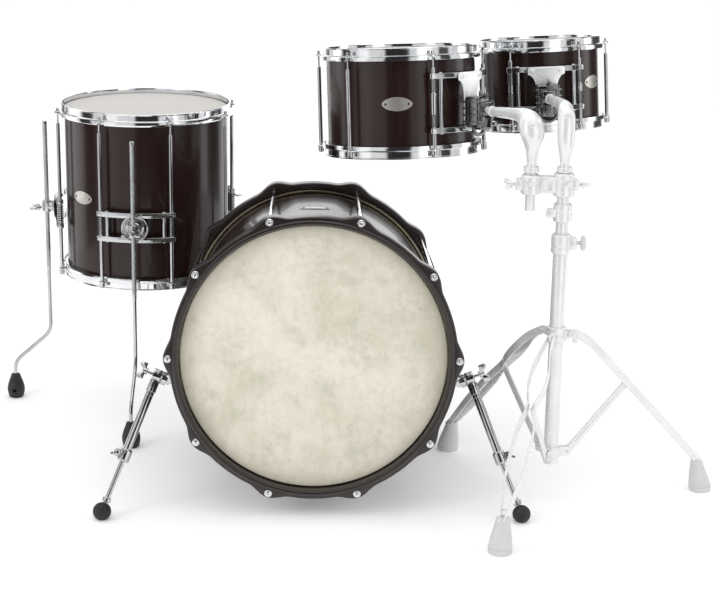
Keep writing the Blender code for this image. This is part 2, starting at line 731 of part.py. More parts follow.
def wing_screw(stem=WING_STEM, turn=0.0, span=WING_SPAN):
    """Wing screw whose stem ends at the origin and points up Z."""
    hub = rod(WING_HUB_RADIUS, stem, stem + WING_HUB_HEIGHT, 5)
    shank = rod(WING_STEM_RADIUS, 0.0, stem + WING_SEAT, 4)
    half = span / 2
    crest = half * 0.6
    wings = prism([(-half, WING_ROOT), (0.0, -WING_KEEL), (half, WING_ROOT), (half, WING_HEIGHT),
                   (crest, WING_HEIGHT), (0.0, WING_DIP), (-crest, WING_HEIGHT), (-half, WING_HEIGHT)],
                  -WING_THICKNESS / 2, WING_THICKNESS / 2)
    moved(wings, Matrix.Translation((0.0, 0.0, stem + WING_SEAT)) @ QUARTER_ABOUT_X)
    screw = joined("wing_screw", [hub, shank, wings])
    return moved(screw, Matrix.Rotation(math.radians(turn), 4, "Z"))


# Bass drum spurs

def build_spur(kit, name, side):
    """Folding spur: bracket, tube, sliding rod, rubber foot, wing screw."""
    turn = math.radians(SPUR_ANGLE)
    normal_local = Vector((side * math.sin(turn), -math.cos(turn), 0.0))
    seat_radius = BASS_SHELL_RADIUS * math.cos(math.pi / BASS_FACETS) + GAP
    turn_only = BASS_PLACE.to_3x3()
    normal = turn_only @ normal_local
    along_drum = turn_only @ Vector((0.0, 0.0, 1.0))
    seat = BASS_PLACE @ (normal_local * seat_radius + Vector((0.0, 0.0, SPUR_STATION)))
    pivot = seat + normal * SPUR_REACH
    foot = Vector((side * SPUR_FOOT[0], SPUR_FOOT[1], SPUR_BALL_RADIUS - SPUR_BALL_FLAT))
    down = foot - pivot
    # The fold axis lies across the drum and square to the spur.
    axis = Vector((side * -down.z, 0.0, side * down.x)).normalized()
    length = down.length
    place = frame(pivot, down, axis)
    # The plate and its web, in the spur's own frame
    local = place.inverted()
    plate_place = local @ frame(seat, normal, along_drum)
    width, long, thick = SPUR_PLATE
    plate = moved(block((long, width, thick), (0.0, 0.0, thick / 2)), plate_place)
    inner_end = -SPUR_KNUCKLE_WIDTH / 2 - GAP
    knuckle = rod(SPUR_KNUCKLE_RADIUS, inner_end - SPUR_KNUCKLE_BACK, inner_end, SPUR_SIDES)
    moved(knuckle, QUARTER_ABOUT_Y)
    web_end = local @ (pivot - axis * (SPUR_KNUCKLE_WIDTH / 2 + SPUR_KNUCKLE_BACK))
    web_start = local @ (seat + normal * (thick / 2))
    across = (local.to_3x3() @ along_drum).normalized()
    web = strap([web_start, web_end], SPUR_WEB[0], SPUR_WEB[1], across)
    bracket = joined(name + "_spur_bracket", [plate, web, knuckle])
    piece(name + "_spur_bracket", bracket, CHROME, kit, place)
    # Folding tube with its knuckle and lower clamp
    fold = empty(name + "_spur_fold", place, kit)
    half_knuckle = SPUR_KNUCKLE_WIDTH / 2
    outer_knuckle = moved(rod(SPUR_KNUCKLE_RADIUS, -half_knuckle, half_knuckle, SPUR_SIDES), QUARTER_ABOUT_Y)
    tube = rod(SPUR_TUBE_RADIUS, SPUR_TUBE_START, SPUR_TUBE_LENGTH, SPUR_SIDES)
    clamp = rod(SPUR_COLLAR_RADIUS, SPUR_TUBE_LENGTH - SPUR_COLLAR_LENGTH / 2,
                SPUR_TUBE_LENGTH + SPUR_COLLAR_LENGTH / 2, SPUR_SIDES)
    lug = block(SPUR_LUG, (SPUR_LUG_OUT, 0.0, SPUR_TUBE_LENGTH))
    clamp_wing = wing_screw(stem=SPUR_WING[0], turn=90.0, span=SPUR_WING[1])
    moved(clamp_wing, Matrix.Translation((SPUR_WING_OUT, 0.0, SPUR_TUBE_LENGTH)) @ QUARTER_ABOUT_Y)
    hollow_end = SPUR_TUBE_LENGTH + SPUR_BORE_BELOW
    hollow = rod(SPUR_TUBE_BORE, SPUR_ROD_INSIDE - SPUR_BORE_ABOVE, hollow_end, SPUR_SIDES)
    folding = joined(name + "_spur_tube", [tube, outer_knuckle, clamp, lug, clamp_wing], [hollow])
    piece(name + "_spur_tube", folding, CHROME, fold)
    # Sliding rod and its foot
    slide = empty(name + "_spur_slide", place, fold)
    ball_top = length - SPUR_BALL_RADIUS
    collar = rod(SPUR_LOCK_RADIUS, ball_top - SPUR_LOCK[0], ball_top - SPUR_LOCK[1], SPUR_SIDES)
    inner = rod(SPUR_ROD_RADIUS, SPUR_ROD_INSIDE, length - SPUR_ROD_END, SPUR_SIDES)
    piece(name + "_spur_rod", joined(name + "_spur_rod", [inner, collar]), CHROME, slide)
    ball_rows = [(0.0, length + SPUR_BALL_RADIUS)]
    for step in range(1, 4):
        bend = math.radians(180.0 * step / 4)
        ball_rows.append((SPUR_BALL_RADIUS * math.sin(bend), length + SPUR_BALL_RADIUS * math.cos(bend)))
    ball_rows.append((0.0, length - SPUR_BALL_RADIUS))
    socket = bore(SPUR_ROD_RADIUS, GAP, ball_top - CUT_MARGIN, length - SPUR_ROD_END + GAP, SPUR_SIDES)
    slab = 2 * CUT_MARGIN
    under = moved(block((slab, slab, slab)), local @ Matrix.Translation((foot.x, foot.y, -slab / 2)))
    ball = joined(name + "_spur_foot", [turned(ball_rows, SPUR_SIDES)], [socket, under])
    piece(name + "_spur_foot", ball, RUBBER, slide)
    # Wing screw on the fold axis
    screw_place = place @ Matrix.Translation((SPUR_KNUCKLE_WIDTH / 2 + GAP, 0.0, 0.0)) @ QUARTER_ABOUT_Y
    holder = empty(name + "_spur_screw", screw_place, kit)
    piece(name + "_spur_wing_screw", wing_screw(turn=20.0, span=SPUR_FOLD_WING_SPAN), CHROME, holder)


# Rack toms and floor tom

def steel_hoop(radius, edge, outward, circle, lugs, first):
    """Triple-flanged hoop with an ear at each rod."""
    flesh_top = edge + outward * (GAP + FILM - FLESH_RISE)
    seat = flesh_top + outward * GAP
    wall = radius + HOOP_OFFSET
    top = edge + outward * HOOP_RISE
    flange = radius + HOOP_FLANGE
    profile = [
        (wall, seat, 0.0),
        (flange, seat, 1.0),
        (flange, seat + outward * HOOP_WALL, 1.0),
        (wall + HOOP_WALL, seat + outward * HOOP_WALL, 0.0),
        (radius + HOOP_LIP, top, 0.0),
        (wall, top, 0.0),
    ]
    offsets = ear_bump(circle, EAR_TOP, EAR_BASE, 360.0 / lugs)
    return lobed(profile, lugs, first, offsets, circle + EAR_MARGIN - flange)


def ear_face(edge, outward):
    """Height of the outer face of a hoop's ears."""
    return edge + outward * (GAP + FILM - FLESH_RISE + GAP + HOOP_WALL)


def tension_rod(height):
    """Hooked rod from the lower hoop to the head above the upper ear."""
    seat = ear_face(height, 1) + GAP
    bottom = ear_face(0.0, -1) - ROD_HOOK_LENGTH
    return turned([
        (0.0, seat + ROD_HEAD_HEIGHT),
        (ROD_HEAD_RADIUS, seat + ROD_HEAD_HEIGHT),
        (ROD_WASHER_RADIUS, seat),
        (ROD_RADIUS, seat),
        (ROD_RADIUS, bottom),
        (0.0, bottom),
    ], ROD_SIDES)


def build_drum(name, parent, radius, height, circle, lugs, first, facets, upper, lower):
    """Shell, two heads, two hoops and the rods of an upright drum."""
    phase = first + 180.0 / facets
    piece(name + "_shell", shell(radius, SHELL_WALL, 0.0, height, facets, phase), LACQUER, parent)
    flesh = (FLESH_RISE, FLESH_HEIGHT)
    piece(name + "_top_head", head(radius, height, 1, *flesh, facets, phase), upper, parent)
    piece(name + "_bottom_head", head(radius, 0.0, -1, *flesh, facets, phase), lower, parent)
    seats = [Matrix.Translation(polar(circle, first + 360.0 * k / lugs)) for k in range(lugs)]
    holes = [moved(bore(ROD_RADIUS, ROD_PLAY, height - CUT_MARGIN, height + CUT_MARGIN, ROD_SIDES), seat)
             for seat in seats]
    top_hoop = joined(name + "_top_hoop", [steel_hoop(radius, height, 1, circle, lugs, first)], holes)
    piece(name + "_top_hoop", top_hoop, CHROME, parent)
    rods = [moved(tension_rod(height), seat) for seat in seats]
    bottom_hoop = joined(name + "_bottom_hoop", [steel_hoop(radius, 0.0, -1, circle, lugs, first)] + rods)
    piece(name + "_bottom_hoop", bottom_hoop, CHROME, parent)


def bracket_frame(circle, lugs, heights):
    """Two curved bars and the posts between them, about angle 0."""
    half = 180.0 / lugs
    low, high = heights
    middle = polar(circle, 0.0)
    line = [middle]
    posts = []
    for side in (-1, 1):
        seat = polar(circle, side * half)
        inward = (middle - seat).normalized()
        end = seat - inward * BAR_OVERHANG
        line = [end, seat] + line if side < 0 else line + [seat, end]
        post = seat + inward * POST_SETBACK
        screw = rod(POST_RADIUS, low - POST_END, high + POST_END, POST_SIDES)
        posts.append(moved(screw, Matrix.Translation(post)))
    return [bent_bar(line, height) for height in heights] + posts


# Floor tom legs

def leg_bracket(name):
    """Clamp bracket of a leg, in the floor tom's frame at angle 0."""
    low, high = LEG_BAR_HEIGHTS
    middle = (low + high) / 2
    circle = FLOOR_TOM_ROD_CIRCLE
    half = 180.0 / FLOOR_TOM_LUGS
    solids = bracket_frame(circle, FLOOR_TOM_LUGS, LEG_BAR_HEIGHTS)
    out_turn = Matrix.Translation((0.0, 0.0, middle)) @ QUARTER_ABOUT_X
    disc_front = circle + BAR_DEPTH / 2 + DISC_THICKNESS
    disc_back = circle - BAR_DEPTH / 4
    disc = rod(DISC_RADIUS, disc_back, disc_front, DISC_SIDES)
    solids.append(moved(disc, out_turn))
    clamp_start = disc_front - CLAMP_SEAT
    clamp_size = (CLAMP_WIDTH, CLAMP_HEIGHT, LEG_CLAMP_END - clamp_start)
    clamp = block(clamp_size, (0.0, 0.0, (LEG_CLAMP_END + clamp_start) / 2))
    solids.append(moved(clamp, out_turn))
    wire = (low + BAR_HEIGHT / 2, high - BAR_HEIGHT / 2)
    for angle in (-half, half):
        solids.append(moved(spring(*wire, LEG_SPRING_TURNS), Matrix.Translation(polar(circle, angle))))
    leg_bore = bore(LEG_RADIUS, RUNNING_GAP, low, high, CLAMP_SIDES)
    moved(leg_bore, Matrix.Translation(polar(LEG_CIRCLE, 0.0)))
    return joined(name, solids, [leg_bore] + bar_notches(circle, half, LEG_BAR_HEIGHTS))


def bar_notches(circle, half, heights):
    """Notches that let each bar hook over its two rods from outside."""
    size = 2 * (ROD_RADIUS + RUNNING_GAP)
    depth = size / 2 + BAR_DEPTH
    notches = []
    for height in heights:
        for angle in (-half, half):
            notch = block((size, depth, BAR_HEIGHT + NOTCH_SLACK), (0.0, depth / 2 - size / 2, 0.0))
            moved(notch, Matrix.Rotation(math.radians(angle), 4, "Z"))
            notches.append(moved(notch, Matrix.Translation(polar(circle, angle, height))))
    return notches


def leg_path():
    """Centre line of a leg at angle 0, in the world's heights."""
    outer = LEG_CIRCLE + LEG_SPLAY
    corners = [polar(LEG_CIRCLE, 0.0, LEG_TOP), polar(LEG_CIRCLE, 0.0, LEG_KNEE_TOP),
               polar(outer, 0.0, LEG_KNEE_BOTTOM), polar(outer, 0.0, LEG_FOOT_SOCKET)]
    points = [corners[0]]
    for before, corner, after in zip(corners, corners[1:], corners[2:]):
        back = (before - corner).normalized() * LEG_BEND
        on = (after - corner).normalized() * LEG_BEND
        points += [corner + back, corner + (back + on) * 0.2, corner + on]
    points.append(corners[-1])
    return points


def leg_foot(name):
    """Rubber bulb with a socket for the leg, on the floor."""
    outer = LEG_CIRCLE + LEG_SPLAY
    rows = [(0.0, 0.0)]
    rows += [(LEG_FOOT_RADIUS * wide, LEG_FOOT_HEIGHT * tall) for wide, tall in LEG_FOOT_SHAPE]
    rows.append((0.0, LEG_FOOT_HEIGHT))
    socket = bore(LEG_RADIUS, GAP, LEG_FOOT_SOCKET - GAP, LEG_FOOT_HEIGHT + CUT_MARGIN, CLAMP_SIDES)
    foot = joined(name, [turned(rows, LEG_FOOT_SIDES)], [socket])
    return moved(foot, Matrix.Translation(polar(outer, 0.0)))


def build_floor_tom(kit):
    """Floor tom with three sliding legs."""
    place = Matrix.Translation(FLOOR_TOM_PLACE)
    drum = empty("floor_tom", place, kit)
    build_drum("floor_tom", drum, FLOOR_TOM_RADIUS, FLOOR_TOM_HEIGHT, FLOOR_TOM_ROD_CIRCLE, FLOOR_TOM_LUGS,
               FLOOR_TOM_FIRST_ROD, FLOOR_TOM_FACETS, COATED, CLEAR_FILM)
    spacing = 360.0 / FLOOR_TOM_LUGS
    legs = (("front", 0), ("rear", 3), ("left", 6))
    for name, gap in legs:
        angle = FLOOR_TOM_FIRST_ROD + spacing * (gap + 0.5)
        turn = place @ Matrix.Rotation(math.radians(angle), 4, "Z")
        full = "floor_tom_" + name
        piece(full + "_bracket", leg_bracket(full), CHROME, drum, turn)
        x, y, _ = FLOOR_TOM_PLACE
        floor_turn = Matrix.Translation((x, y, 0.0)) @ Matrix.Rotation(math.radians(angle), 4, "Z")
        slide = empty(full + "_slide", floor_turn, kit)
        path = leg_path()
        piece(full + "_leg", swept(path, [LEG_RADIUS] * len(path), CLAMP_SIDES), CHROME, slide)
        piece(full + "_foot", leg_foot(full), RUBBER, slide)
        middle = sum(LEG_BAR_HEIGHTS) / 2 - SCREW_DROP
        screw_seat = turn @ Matrix.Translation((0.0, -LEG_CLAMP_END - GAP, middle))
        holder = empty(full + "_screw", screw_seat @ QUARTER_ABOUT_X, kit)
        piece(full + "_wing_screw", wing_screw(stem=MOUNT_STEM), CHROME, holder)


# Rack toms

def tom_mount(name, circle, heights, clamp_place):
    """Bars, posts, springs, plate and clamp block, about angle 0."""
    low, high = heights
    half = 180.0 / TOM_LUGS
    solids = bracket_frame(circle, TOM_LUGS, heights)
    bottom = low + BAR_HEIGHT / 2
    top = high - BAR_HEIGHT / 2
    sleeve_bore = (ROD_RADIUS + RUNNING_GAP) / math.cos(math.pi / SLEEVE_SIDES)
    for angle in (-half, half):
        seat = Matrix.Translation(polar(circle, angle))
        sleeve_low = bottom + TOM_SPRING_LENGTH
        sleeve_high = top - TOM_SPRING_LENGTH
        sleeve = turned([(SLEEVE_RADIUS, sleeve_low), (SLEEVE_RADIUS, sleeve_high),
                         (sleeve_bore, sleeve_high), (sleeve_bore, sleeve_low)], SLEEVE_SIDES)
        solids.append(moved(sleeve, seat))
        solids.append(moved(spring(bottom, sleeve_low, TOM_SPRING_TURNS), seat))
        solids.append(moved(spring(sleeve_high, top, TOM_SPRING_TURNS), seat))
    face = circle + BAR_DEPTH / 2
    ends = [(PLATE_WIDE, high + BAR_HEIGHT / 2), (PLATE_WIDE, high - PLATE_SHOULDER),
            (PLATE_NARROW, high - PLATE_WAIST), (PLATE_NARROW, low - BAR_HEIGHT / 2)]
    outline = ends + [(-x, y) for x, y in reversed(ends)]
    plate = prism(outline, 0.0, PLATE_GAUGE)
    moved(plate, Matrix.Translation((0.0, PLATE_SEAT - face, 0.0)) @ QUARTER_ABOUT_X)
    solids.append(plate)
    solids.append(block(STEM, (0.0, -face - STEM_OUT, clamp_place.translation.z)))
    solids.append(moved(block(ARM_CLAMP), clamp_place))
    arm_bore = moved(bore(ARM_ROD_RADIUS, GAP, -CUT_MARGIN, CUT_MARGIN, ARM_SIDES), clamp_place)
    return joined(name, solids, bar_notches(circle, half, heights) + [arm_bore])


def tom_places(offset, lean, middle, circle, clamp_height, post):
    """Frames of a rack tom, of its mount and of the clamp on its arm."""
    place = [a + b for a, b in zip((*STAND_PLACE, HOLDER_HEIGHT), offset)]
    drum_place = (Matrix.Translation(place) @ Matrix.Rotation(math.radians(lean[1]), 4, "Y")
                  @ Matrix.Rotation(math.radians(lean[0]), 4, "X"))
    mount_place = drum_place @ Matrix.Rotation(math.radians(middle), 4, "Z")
    centre = mount_place @ Vector((0.0, -(circle + ARM_CLAMP_OUT), clamp_height))
    toward = Vector((post[0] - centre.x, post[1] - centre.y, 0.0)).normalized()
    return drum_place, mount_place, frame(centre, toward, (0.0, 0.0, 1.0))


def arm_path(clamp_place, post, post_end):
    """Centre line and radii of a tom arm, from its rod to its post."""
    centre = clamp_place.translation
    toward = clamp_place.to_3x3() @ Vector((0.0, 0.0, 1.0))
    reach = (Vector((*post, centre.z)) - centre).length
    neck, drop, elbow = ARM_NECK, ARM_DROP, ARM_ELBOW
    stations = [
        (-ARM_ROD_END, 0.0, ARM_ROD_RADIUS),
        (ARM_ROD_END, 0.0, ARM_ROD_RADIUS),
        (neck, 0.0, ARM_BODY_RADIUS),
        (reach - elbow, 0.0, ARM_BODY_RADIUS),
        (reach - 0.27 * elbow, -0.08 * drop, ARM_SHOULDER_RADIUS),
        (reach + 0.04 * elbow, -0.42 * drop, ARM_SHOULDER_RADIUS),
        (reach, -drop, ARM_SHOULDER_RADIUS * 0.85),
    ]
    points = [centre + toward * distance + Vector((0.0, 0.0, level)) for distance, level, _ in stations]
    radii = [radius for _, _, radius in stations]
    holder_top = HOLDER_HEIGHT + HOLDER_DEPTH
    for level in (holder_top + POST_SHOULDER, post_end):
        points.append(Vector((*post, level)))
        radii.append(POST_ROD_RADIUS)
    return points, radii


def build_toms_and_arms(raised):
    """Both rack toms on their arms, above the twin holder."""
    stand_x, stand_y = STAND_PLACE
    spacing = 360.0 / TOM_LUGS
    sizes = (
        ("left", LEFT_TOM_RADIUS, LEFT_TOM_HEIGHT, LEFT_TOM_ROD_CIRCLE, LEFT_TOM_OFFSET, LEFT_TOM_LEAN,
         LEFT_TOM_FIRST_ROD, LEFT_TOM_FIRST_ROD + spacing / 2, LEFT_TOM_BAR_HEIGHTS, LEFT_CLAMP_HEIGHT,
         (stand_x - HOLDER_SPACING, stand_y), HOLDER_HEIGHT - POST_STUB),
        ("right", RIGHT_TOM_RADIUS, RIGHT_TOM_HEIGHT, RIGHT_TOM_ROD_CIRCLE, RIGHT_TOM_OFFSET, RIGHT_TOM_LEAN,
         RIGHT_TOM_FIRST_ROD, RIGHT_TOM_FIRST_ROD - spacing / 2, RIGHT_TOM_BAR_HEIGHTS, RIGHT_CLAMP_HEIGHT,
         (stand_x, stand_y), HOLDER_HEIGHT + POST_SEAT),
    )
    for side, radius, height, circle, offset, lean, first, middle, bars, clamp, post, post_end in sizes:
        name = side + "_tom"
        drum_place, mount_place, clamp_place = tom_places(offset, lean, middle, circle, clamp, post)
        swivel = empty(side + "_arm_swivel", Matrix.Translation((*post, HOLDER_HEIGHT)), raised)
        points, radii = arm_path(clamp_place, post, post_end)
        piece(side + "_tom_arm", swept(points, radii, ARM_SIDES), PALE_CHROME, swivel, Matrix.Identity(4))
        tilt = empty(side + "_tom_tilt", clamp_place, swivel)
        drum = empty(name, drum_place, tilt)
        build_drum(name, drum, radius, height, circle, TOM_LUGS, first, TOM_FACETS, COATED, CLEAR_FILM)
        mount = tom_mount(name + "_mount", circle, bars, mount_place.inverted() @ clamp_place)
        piece(name + "_mount", mount, CHROME, drum, mount_place)
        screw_place = clamp_place @ Matrix.Translation((ARM_CLAMP[0] / 2 + GAP, 0.0, 0.0))
        holder = empty(side + "_mount_screw", screw_place @ QUARTER_ABOUT_Y, tilt)
        piece(name + "_wing_screw", wing_screw(stem=MOUNT_STEM, span=MOUNT_WING_SPAN), CHROME, holder)


# Tom stand

def leg_bar_points(side):
    """Centre line of one of a leg's two bars, in X out and Y across."""
    stations = [(COLLAR_PIVOT, PIVOT_SPREAD), (STAND_LEG_BEND, PIVOT_SPREAD + BEND_SPREAD)]
    bend = Vector(STAND_LEG_BEND)
    joint = Vector(LEG_JOINT)
    toe = Vector(LEG_TOE)
    for share in UPPER_BOW:
        stations.append((tuple(bend.lerp(joint, share)), BAR_SPREAD))
    stations.append((LEG_JOINT, PIVOT_SPREAD))
    for share in LOWER_BOW:
        stations.append((tuple(joint.lerp(toe, share)), BAR_SPREAD))
    stations.append((LEG_TOE, PIVOT_SPREAD))
    end = toe + (toe - joint).normalized() * BAR_IN_BOOT
    stations.append((tuple(end), PIVOT_SPREAD))
    return [Vector((out, side * spread, up)) for (out, up), spread in stations]


def stand_foot():
    """Slanted rubber boot at the end of a leg, flat on the floor."""
    toe = Vector((LEG_TOE[0], 0.0, LEG_TOE[1]))
    sole = Vector((STAND_FOOT_CIRCLE, 0.0, 0.0))
    rows = []
    sections = ((toe + Vector((-BOOT_TOP, 0.0, BOOT_TOP)), 0.0105, 0.0130),
                (toe.lerp(sole, 0.45), 0.0150, 0.0165),
                (sole + Vector((-0.002, 0.0, BOOT_RIM)), 0.0210, 0.0200),
                (sole, 0.0190, 0.0180))
    for i, (centre, long, wide) in enumerate(sections):
        ring = []
        for k in range(8):
            turn = math.radians(22.5 + 45.0 * k)
            lift = -0.5 * long * math.cos(turn) if i < 2 else 0.0
            ring.append(centre + Vector((long * math.cos(turn), wide * math.sin(turn), -lift)))
        rows.append(ring)
    return ringed([[sections[0][0]]] + rows + [[sections[-1][0]]], closed_rows=False)


def stand_leg(name):
    """Two spread bars with a bush at the top, in a rubber foot."""
    across = Vector((0.0, 1.0, 0.0))
    bars = [strap(leg_bar_points(side), BAR_WIDTH, BAR_GAUGE, across) for side in (-1, 1)]
    bush = pivot_pin(COLLAR_PIVOT, PIVOT_SPREAD + BUSH_END, 0.0)
    return joined(name, bars + [bush, stand_foot()])


def pivot_pin(pivot, half, clearance):
    """Pin across a leg's plane at a pivot, or the cutter that clears it."""
    pin = bore(PIVOT_RADIUS - RUNNING_GAP, clearance, -half, half, PIVOT_SIDES)
    if clearance == 0.0:
        pin = rod(PIVOT_RADIUS - RUNNING_GAP, -half, half, PIVOT_SIDES)
    return moved(pin, Matrix.Translation((pivot[0], 0.0, pivot[1])) @ QUARTER_ABOUT_X)


def stand_strut(name):
    """Strut from the hub to the leg, with a bush through the hub's ears."""
    low = Vector((HUB_PIVOT[0], 0.0, HUB_PIVOT[1]))
    high = Vector((LEG_JOINT[0], 0.0, LEG_JOINT[1] - STRUT_DROP))
    past = (high - low).normalized() * STRUT_END
    bar = strap([low - past, high + past], STRUT_WIDTH, STRUT_GAUGE, Vector((0.0, 1.0, 0.0)))
    return joined(name, [bar, pivot_pin(HUB_PIVOT, STRUT_SLOT / 2 + HUB_EAR[0], 0.0)])


def ears(pivot, inner, gauge, height, slot):
    """Pairs of ears with a bore, one pair for each leg."""
    made = []
    holes = []
    reach = pivot[0] + EAR_END - inner
    for k in range(3):
        for side in (-1, 1):
            place = (inner + reach / 2, side * (slot + gauge) / 2, pivot[1])
            made.append(moved(block((reach, gauge, height), place), leg_turn(k)))
        holes.append(moved(pivot_pin(pivot, CUT_MARGIN, RUNNING_GAP), leg_turn(k)))
    return made, holes


def band(radius, inner, middle, height):
    """Ring round the stand's tube."""
    low, high = middle - height / 2, middle + height / 2
    return turned([(radius, low), (radius, high), (inner, high), (inner, low)], TUBE_SIDES)


def leg_turn(index):
    """Rotation of one of the three legs about the tube."""
    return Matrix.Rotation(math.radians(STAND_FIRST_LEG + 120.0 * index - 90.0), 4, "Z")


def base_tube():
    """Lower tube with the strut hub and the height clamp."""
    tube = turned([(TUBE_RADIUS, TUBE_BOTTOM), (TUBE_RADIUS, TUBE_TOP), (TUBE_BORE, TUBE_TOP),
                   (TUBE_BORE, TUBE_BOTTOM)], TUBE_SIDES)
    hub = band(HUB_RADIUS, TUBE_RADIUS - SEAT_BITE, HUB_PIVOT[1], HUB_HEIGHT)
    sleeve = CLAMP_SLEEVE + CLAMP_LIP
    clamp = band(CLAMP_RADIUS, TUBE_BORE, TUBE_TOP + CLAMP_LIP - sleeve / 2, sleeve)
    boss = block(CLAMP_BOSS, (CLAMP_RADIUS + CLAMP_BOSS_OUT, 0.0, TUBE_TOP - CLAMP_BOSS_DROP))
    hub_ears, hub_holes = ears(HUB_PIVOT, TUBE_RADIUS, *HUB_EAR, STRUT_SLOT)
    return joined("stand_base_tube", [tube, hub, clamp, boss] + hub_ears, hub_holes)


def leg_collar():
    """Collar that slides on the tube, with a tongue for each leg and its wing screw."""
    pivot, level = COLLAR_PIVOT
    collar = band(COLLAR_RADIUS, TUBE_RADIUS + RUNNING_GAP, level, COLLAR_HEIGHT)
    inner = COLLAR_RADIUS - SCREW_BITE
    outer = pivot + TONGUE_END
    tongues = []
    holes = []
    for k in range(3):
        size = (outer - inner, TONGUE_WIDTH, TONGUE_HEIGHT)
        tongues.append(moved(block(size, ((outer + inner) / 2, 0.0, level)), leg_turn(k)))
        holes.append(moved(pivot_pin(COLLAR_PIVOT, CUT_MARGIN, RUNNING_GAP), leg_turn(k)))
    screw = wing_screw(turn=20.0, span=COLLAR_WING_SPAN)
    moved(screw, Matrix.Translation((inner, 0.0, level)) @ QUARTER_ABOUT_Y)
    moved(screw, Matrix.Rotation(math.radians(COLLAR_SCREW_TURN), 4, "Z"))
    return joined("stand_leg_collar", [collar, screw] + tongues, holes)


def twin_holder():
    """Upper tube with the memory clamp and the two sockets for the arms."""
    upper = rod(UPPER_TUBE_RADIUS, UPPER_TUBE_BOTTOM, HOLDER_HEIGHT + HOLDER_SEAT, TUBE_SIDES)
    memory_base = HOLDER_HEIGHT - MEMORY_DROP
    memory = rod(MEMORY_RADIUS, memory_base, memory_base + MEMORY_LENGTH, TUBE_SIDES)
    memory_lug = block(MEMORY_LUG, (*MEMORY_LUG_PLACE, memory_base + MEMORY_LENGTH / 2))
    top = HOLDER_HEIGHT + HOLDER_DEPTH
    middle = HOLDER_HEIGHT + HOLDER_DEPTH / 2
    to_left = Matrix.Translation((-HOLDER_SPACING, 0.0, 0.0))
    right = rod(HOLDER_RADIUS, HOLDER_HEIGHT, top, TUBE_SIDES)
    left = moved(rod(HOLDER_RADIUS, HOLDER_HEIGHT + HOLDER_STEP, top - HOLDER_STEP, TUBE_SIDES), to_left)
    web_width, web_step = HOLDER_WEB
    web = block((HOLDER_SPACING, web_width, HOLDER_DEPTH - web_step), (-HOLDER_SPACING / 2, 0.0, middle))
    boss_out = HOLDER_RADIUS + HOLDER_BOSS_OUT
    left_boss = block(HOLDER_BOSS, (-HOLDER_SPACING - boss_out, 0.0, middle))
    right_boss = block(HOLDER_BOSS, (boss_out, 0.0, middle))
    floor = HOLDER_HEIGHT + POST_SEAT - SOCKET_PLAY
    right_bore = bore(POST_ROD_RADIUS, GAP, floor, top + CUT_MARGIN, ARM_SIDES)
    left_bore = bore(POST_ROD_RADIUS, GAP, HOLDER_HEIGHT - CUT_MARGIN, top + CUT_MARGIN, ARM_SIDES)
    moved(left_bore, to_left)
    parts = [upper, memory, memory_lug, right, left, web, left_boss, right_boss]
    return joined("stand_tom_holder", parts, [right_bore, left_bore])


def height_knob():
    """Oval knob of the height clamp."""
    rim = KNOB_RADIUS * 0.8
    grip = turned([(0.0, KNOB_START), (rim, KNOB_START), (KNOB_RADIUS, KNOB_START + KNOB_THICKNESS / 2),
                   (rim, KNOB_START + KNOB_THICKNESS), (0.0, KNOB_START + KNOB_THICKNESS)], TUBE_SIDES)
    bmesh.ops.scale(grip, vec=(1.0, KNOB_OVAL, 1.0), verts=grip.verts)
    return joined("knob", [rod(*KNOB_SHANK), grip])


def build_stand(kit):
    """Tripod, height tube, twin holder and their screws."""
    place = Matrix.Translation((*STAND_PLACE, 0.0))
    stand = empty("tom_stand", place, kit)
    piece("stand_base_tube", base_tube(), PALE_CHROME, stand)
    rise = empty("leg_collar_slide", place, stand)
    piece("stand_leg_collar", leg_collar(), PALE_CHROME, rise)
    for k, side in enumerate(("front", "right", "left")):
        name = "stand_" + side
        turn = place @ leg_turn(k)
        leg_seat = turn @ Matrix.Translation((COLLAR_PIVOT[0], 0.0, COLLAR_PIVOT[1]))
        piece(name + "_leg", stand_leg(side), PALE_CHROME, empty(name + "_leg_fold", leg_seat, rise), turn)
        strut_seat = turn @ Matrix.Translation((HUB_PIVOT[0], 0.0, HUB_PIVOT[1]))
        strut_fold = empty(name + "_strut_fold", strut_seat, stand)
        piece(name + "_strut", stand_strut(side), PALE_CHROME, strut_fold, turn)
    raised = empty("stand_height_slide", place, stand)
    piece("stand_tom_holder", twin_holder(), PALE_CHROME, raised)
    boss_face = HOLDER_RADIUS + HOLDER_BOSS_OUT + HOLDER_BOSS[0] / 2 + GAP
    middle = HOLDER_HEIGHT + HOLDER_DEPTH / 2
    for side, sign, x in (("right", 1, boss_face), ("left", -1, -HOLDER_SPACING - boss_face)):
        seat = place @ Matrix.Translation((x, 0.0, middle))
        holder = empty(side + "_arm_screw", seat @ Matrix.Rotation(math.radians(sign * 90.0), 4, "Y"), raised)
        screw = wing_screw(stem=ARM_WING_STEM, turn=ARM_WING_TURN, span=MOUNT_WING_SPAN)
        piece(side + "_arm_wing_screw", screw, PALE_CHROME, holder)
    knob_x = CLAMP_RADIUS + CLAMP_BOSS_OUT + CLAMP_BOSS[0] / 2 + GAP
    knob_seat = place @ Matrix.Translation((knob_x, 0.0, TUBE_TOP - CLAMP_BOSS_DROP))
    knob = empty("height_knob", knob_seat @ QUARTER_ABOUT_Y, stand)
    piece("stand_height_knob", height_knob(), PALE_CHROME, knob)
    return raised


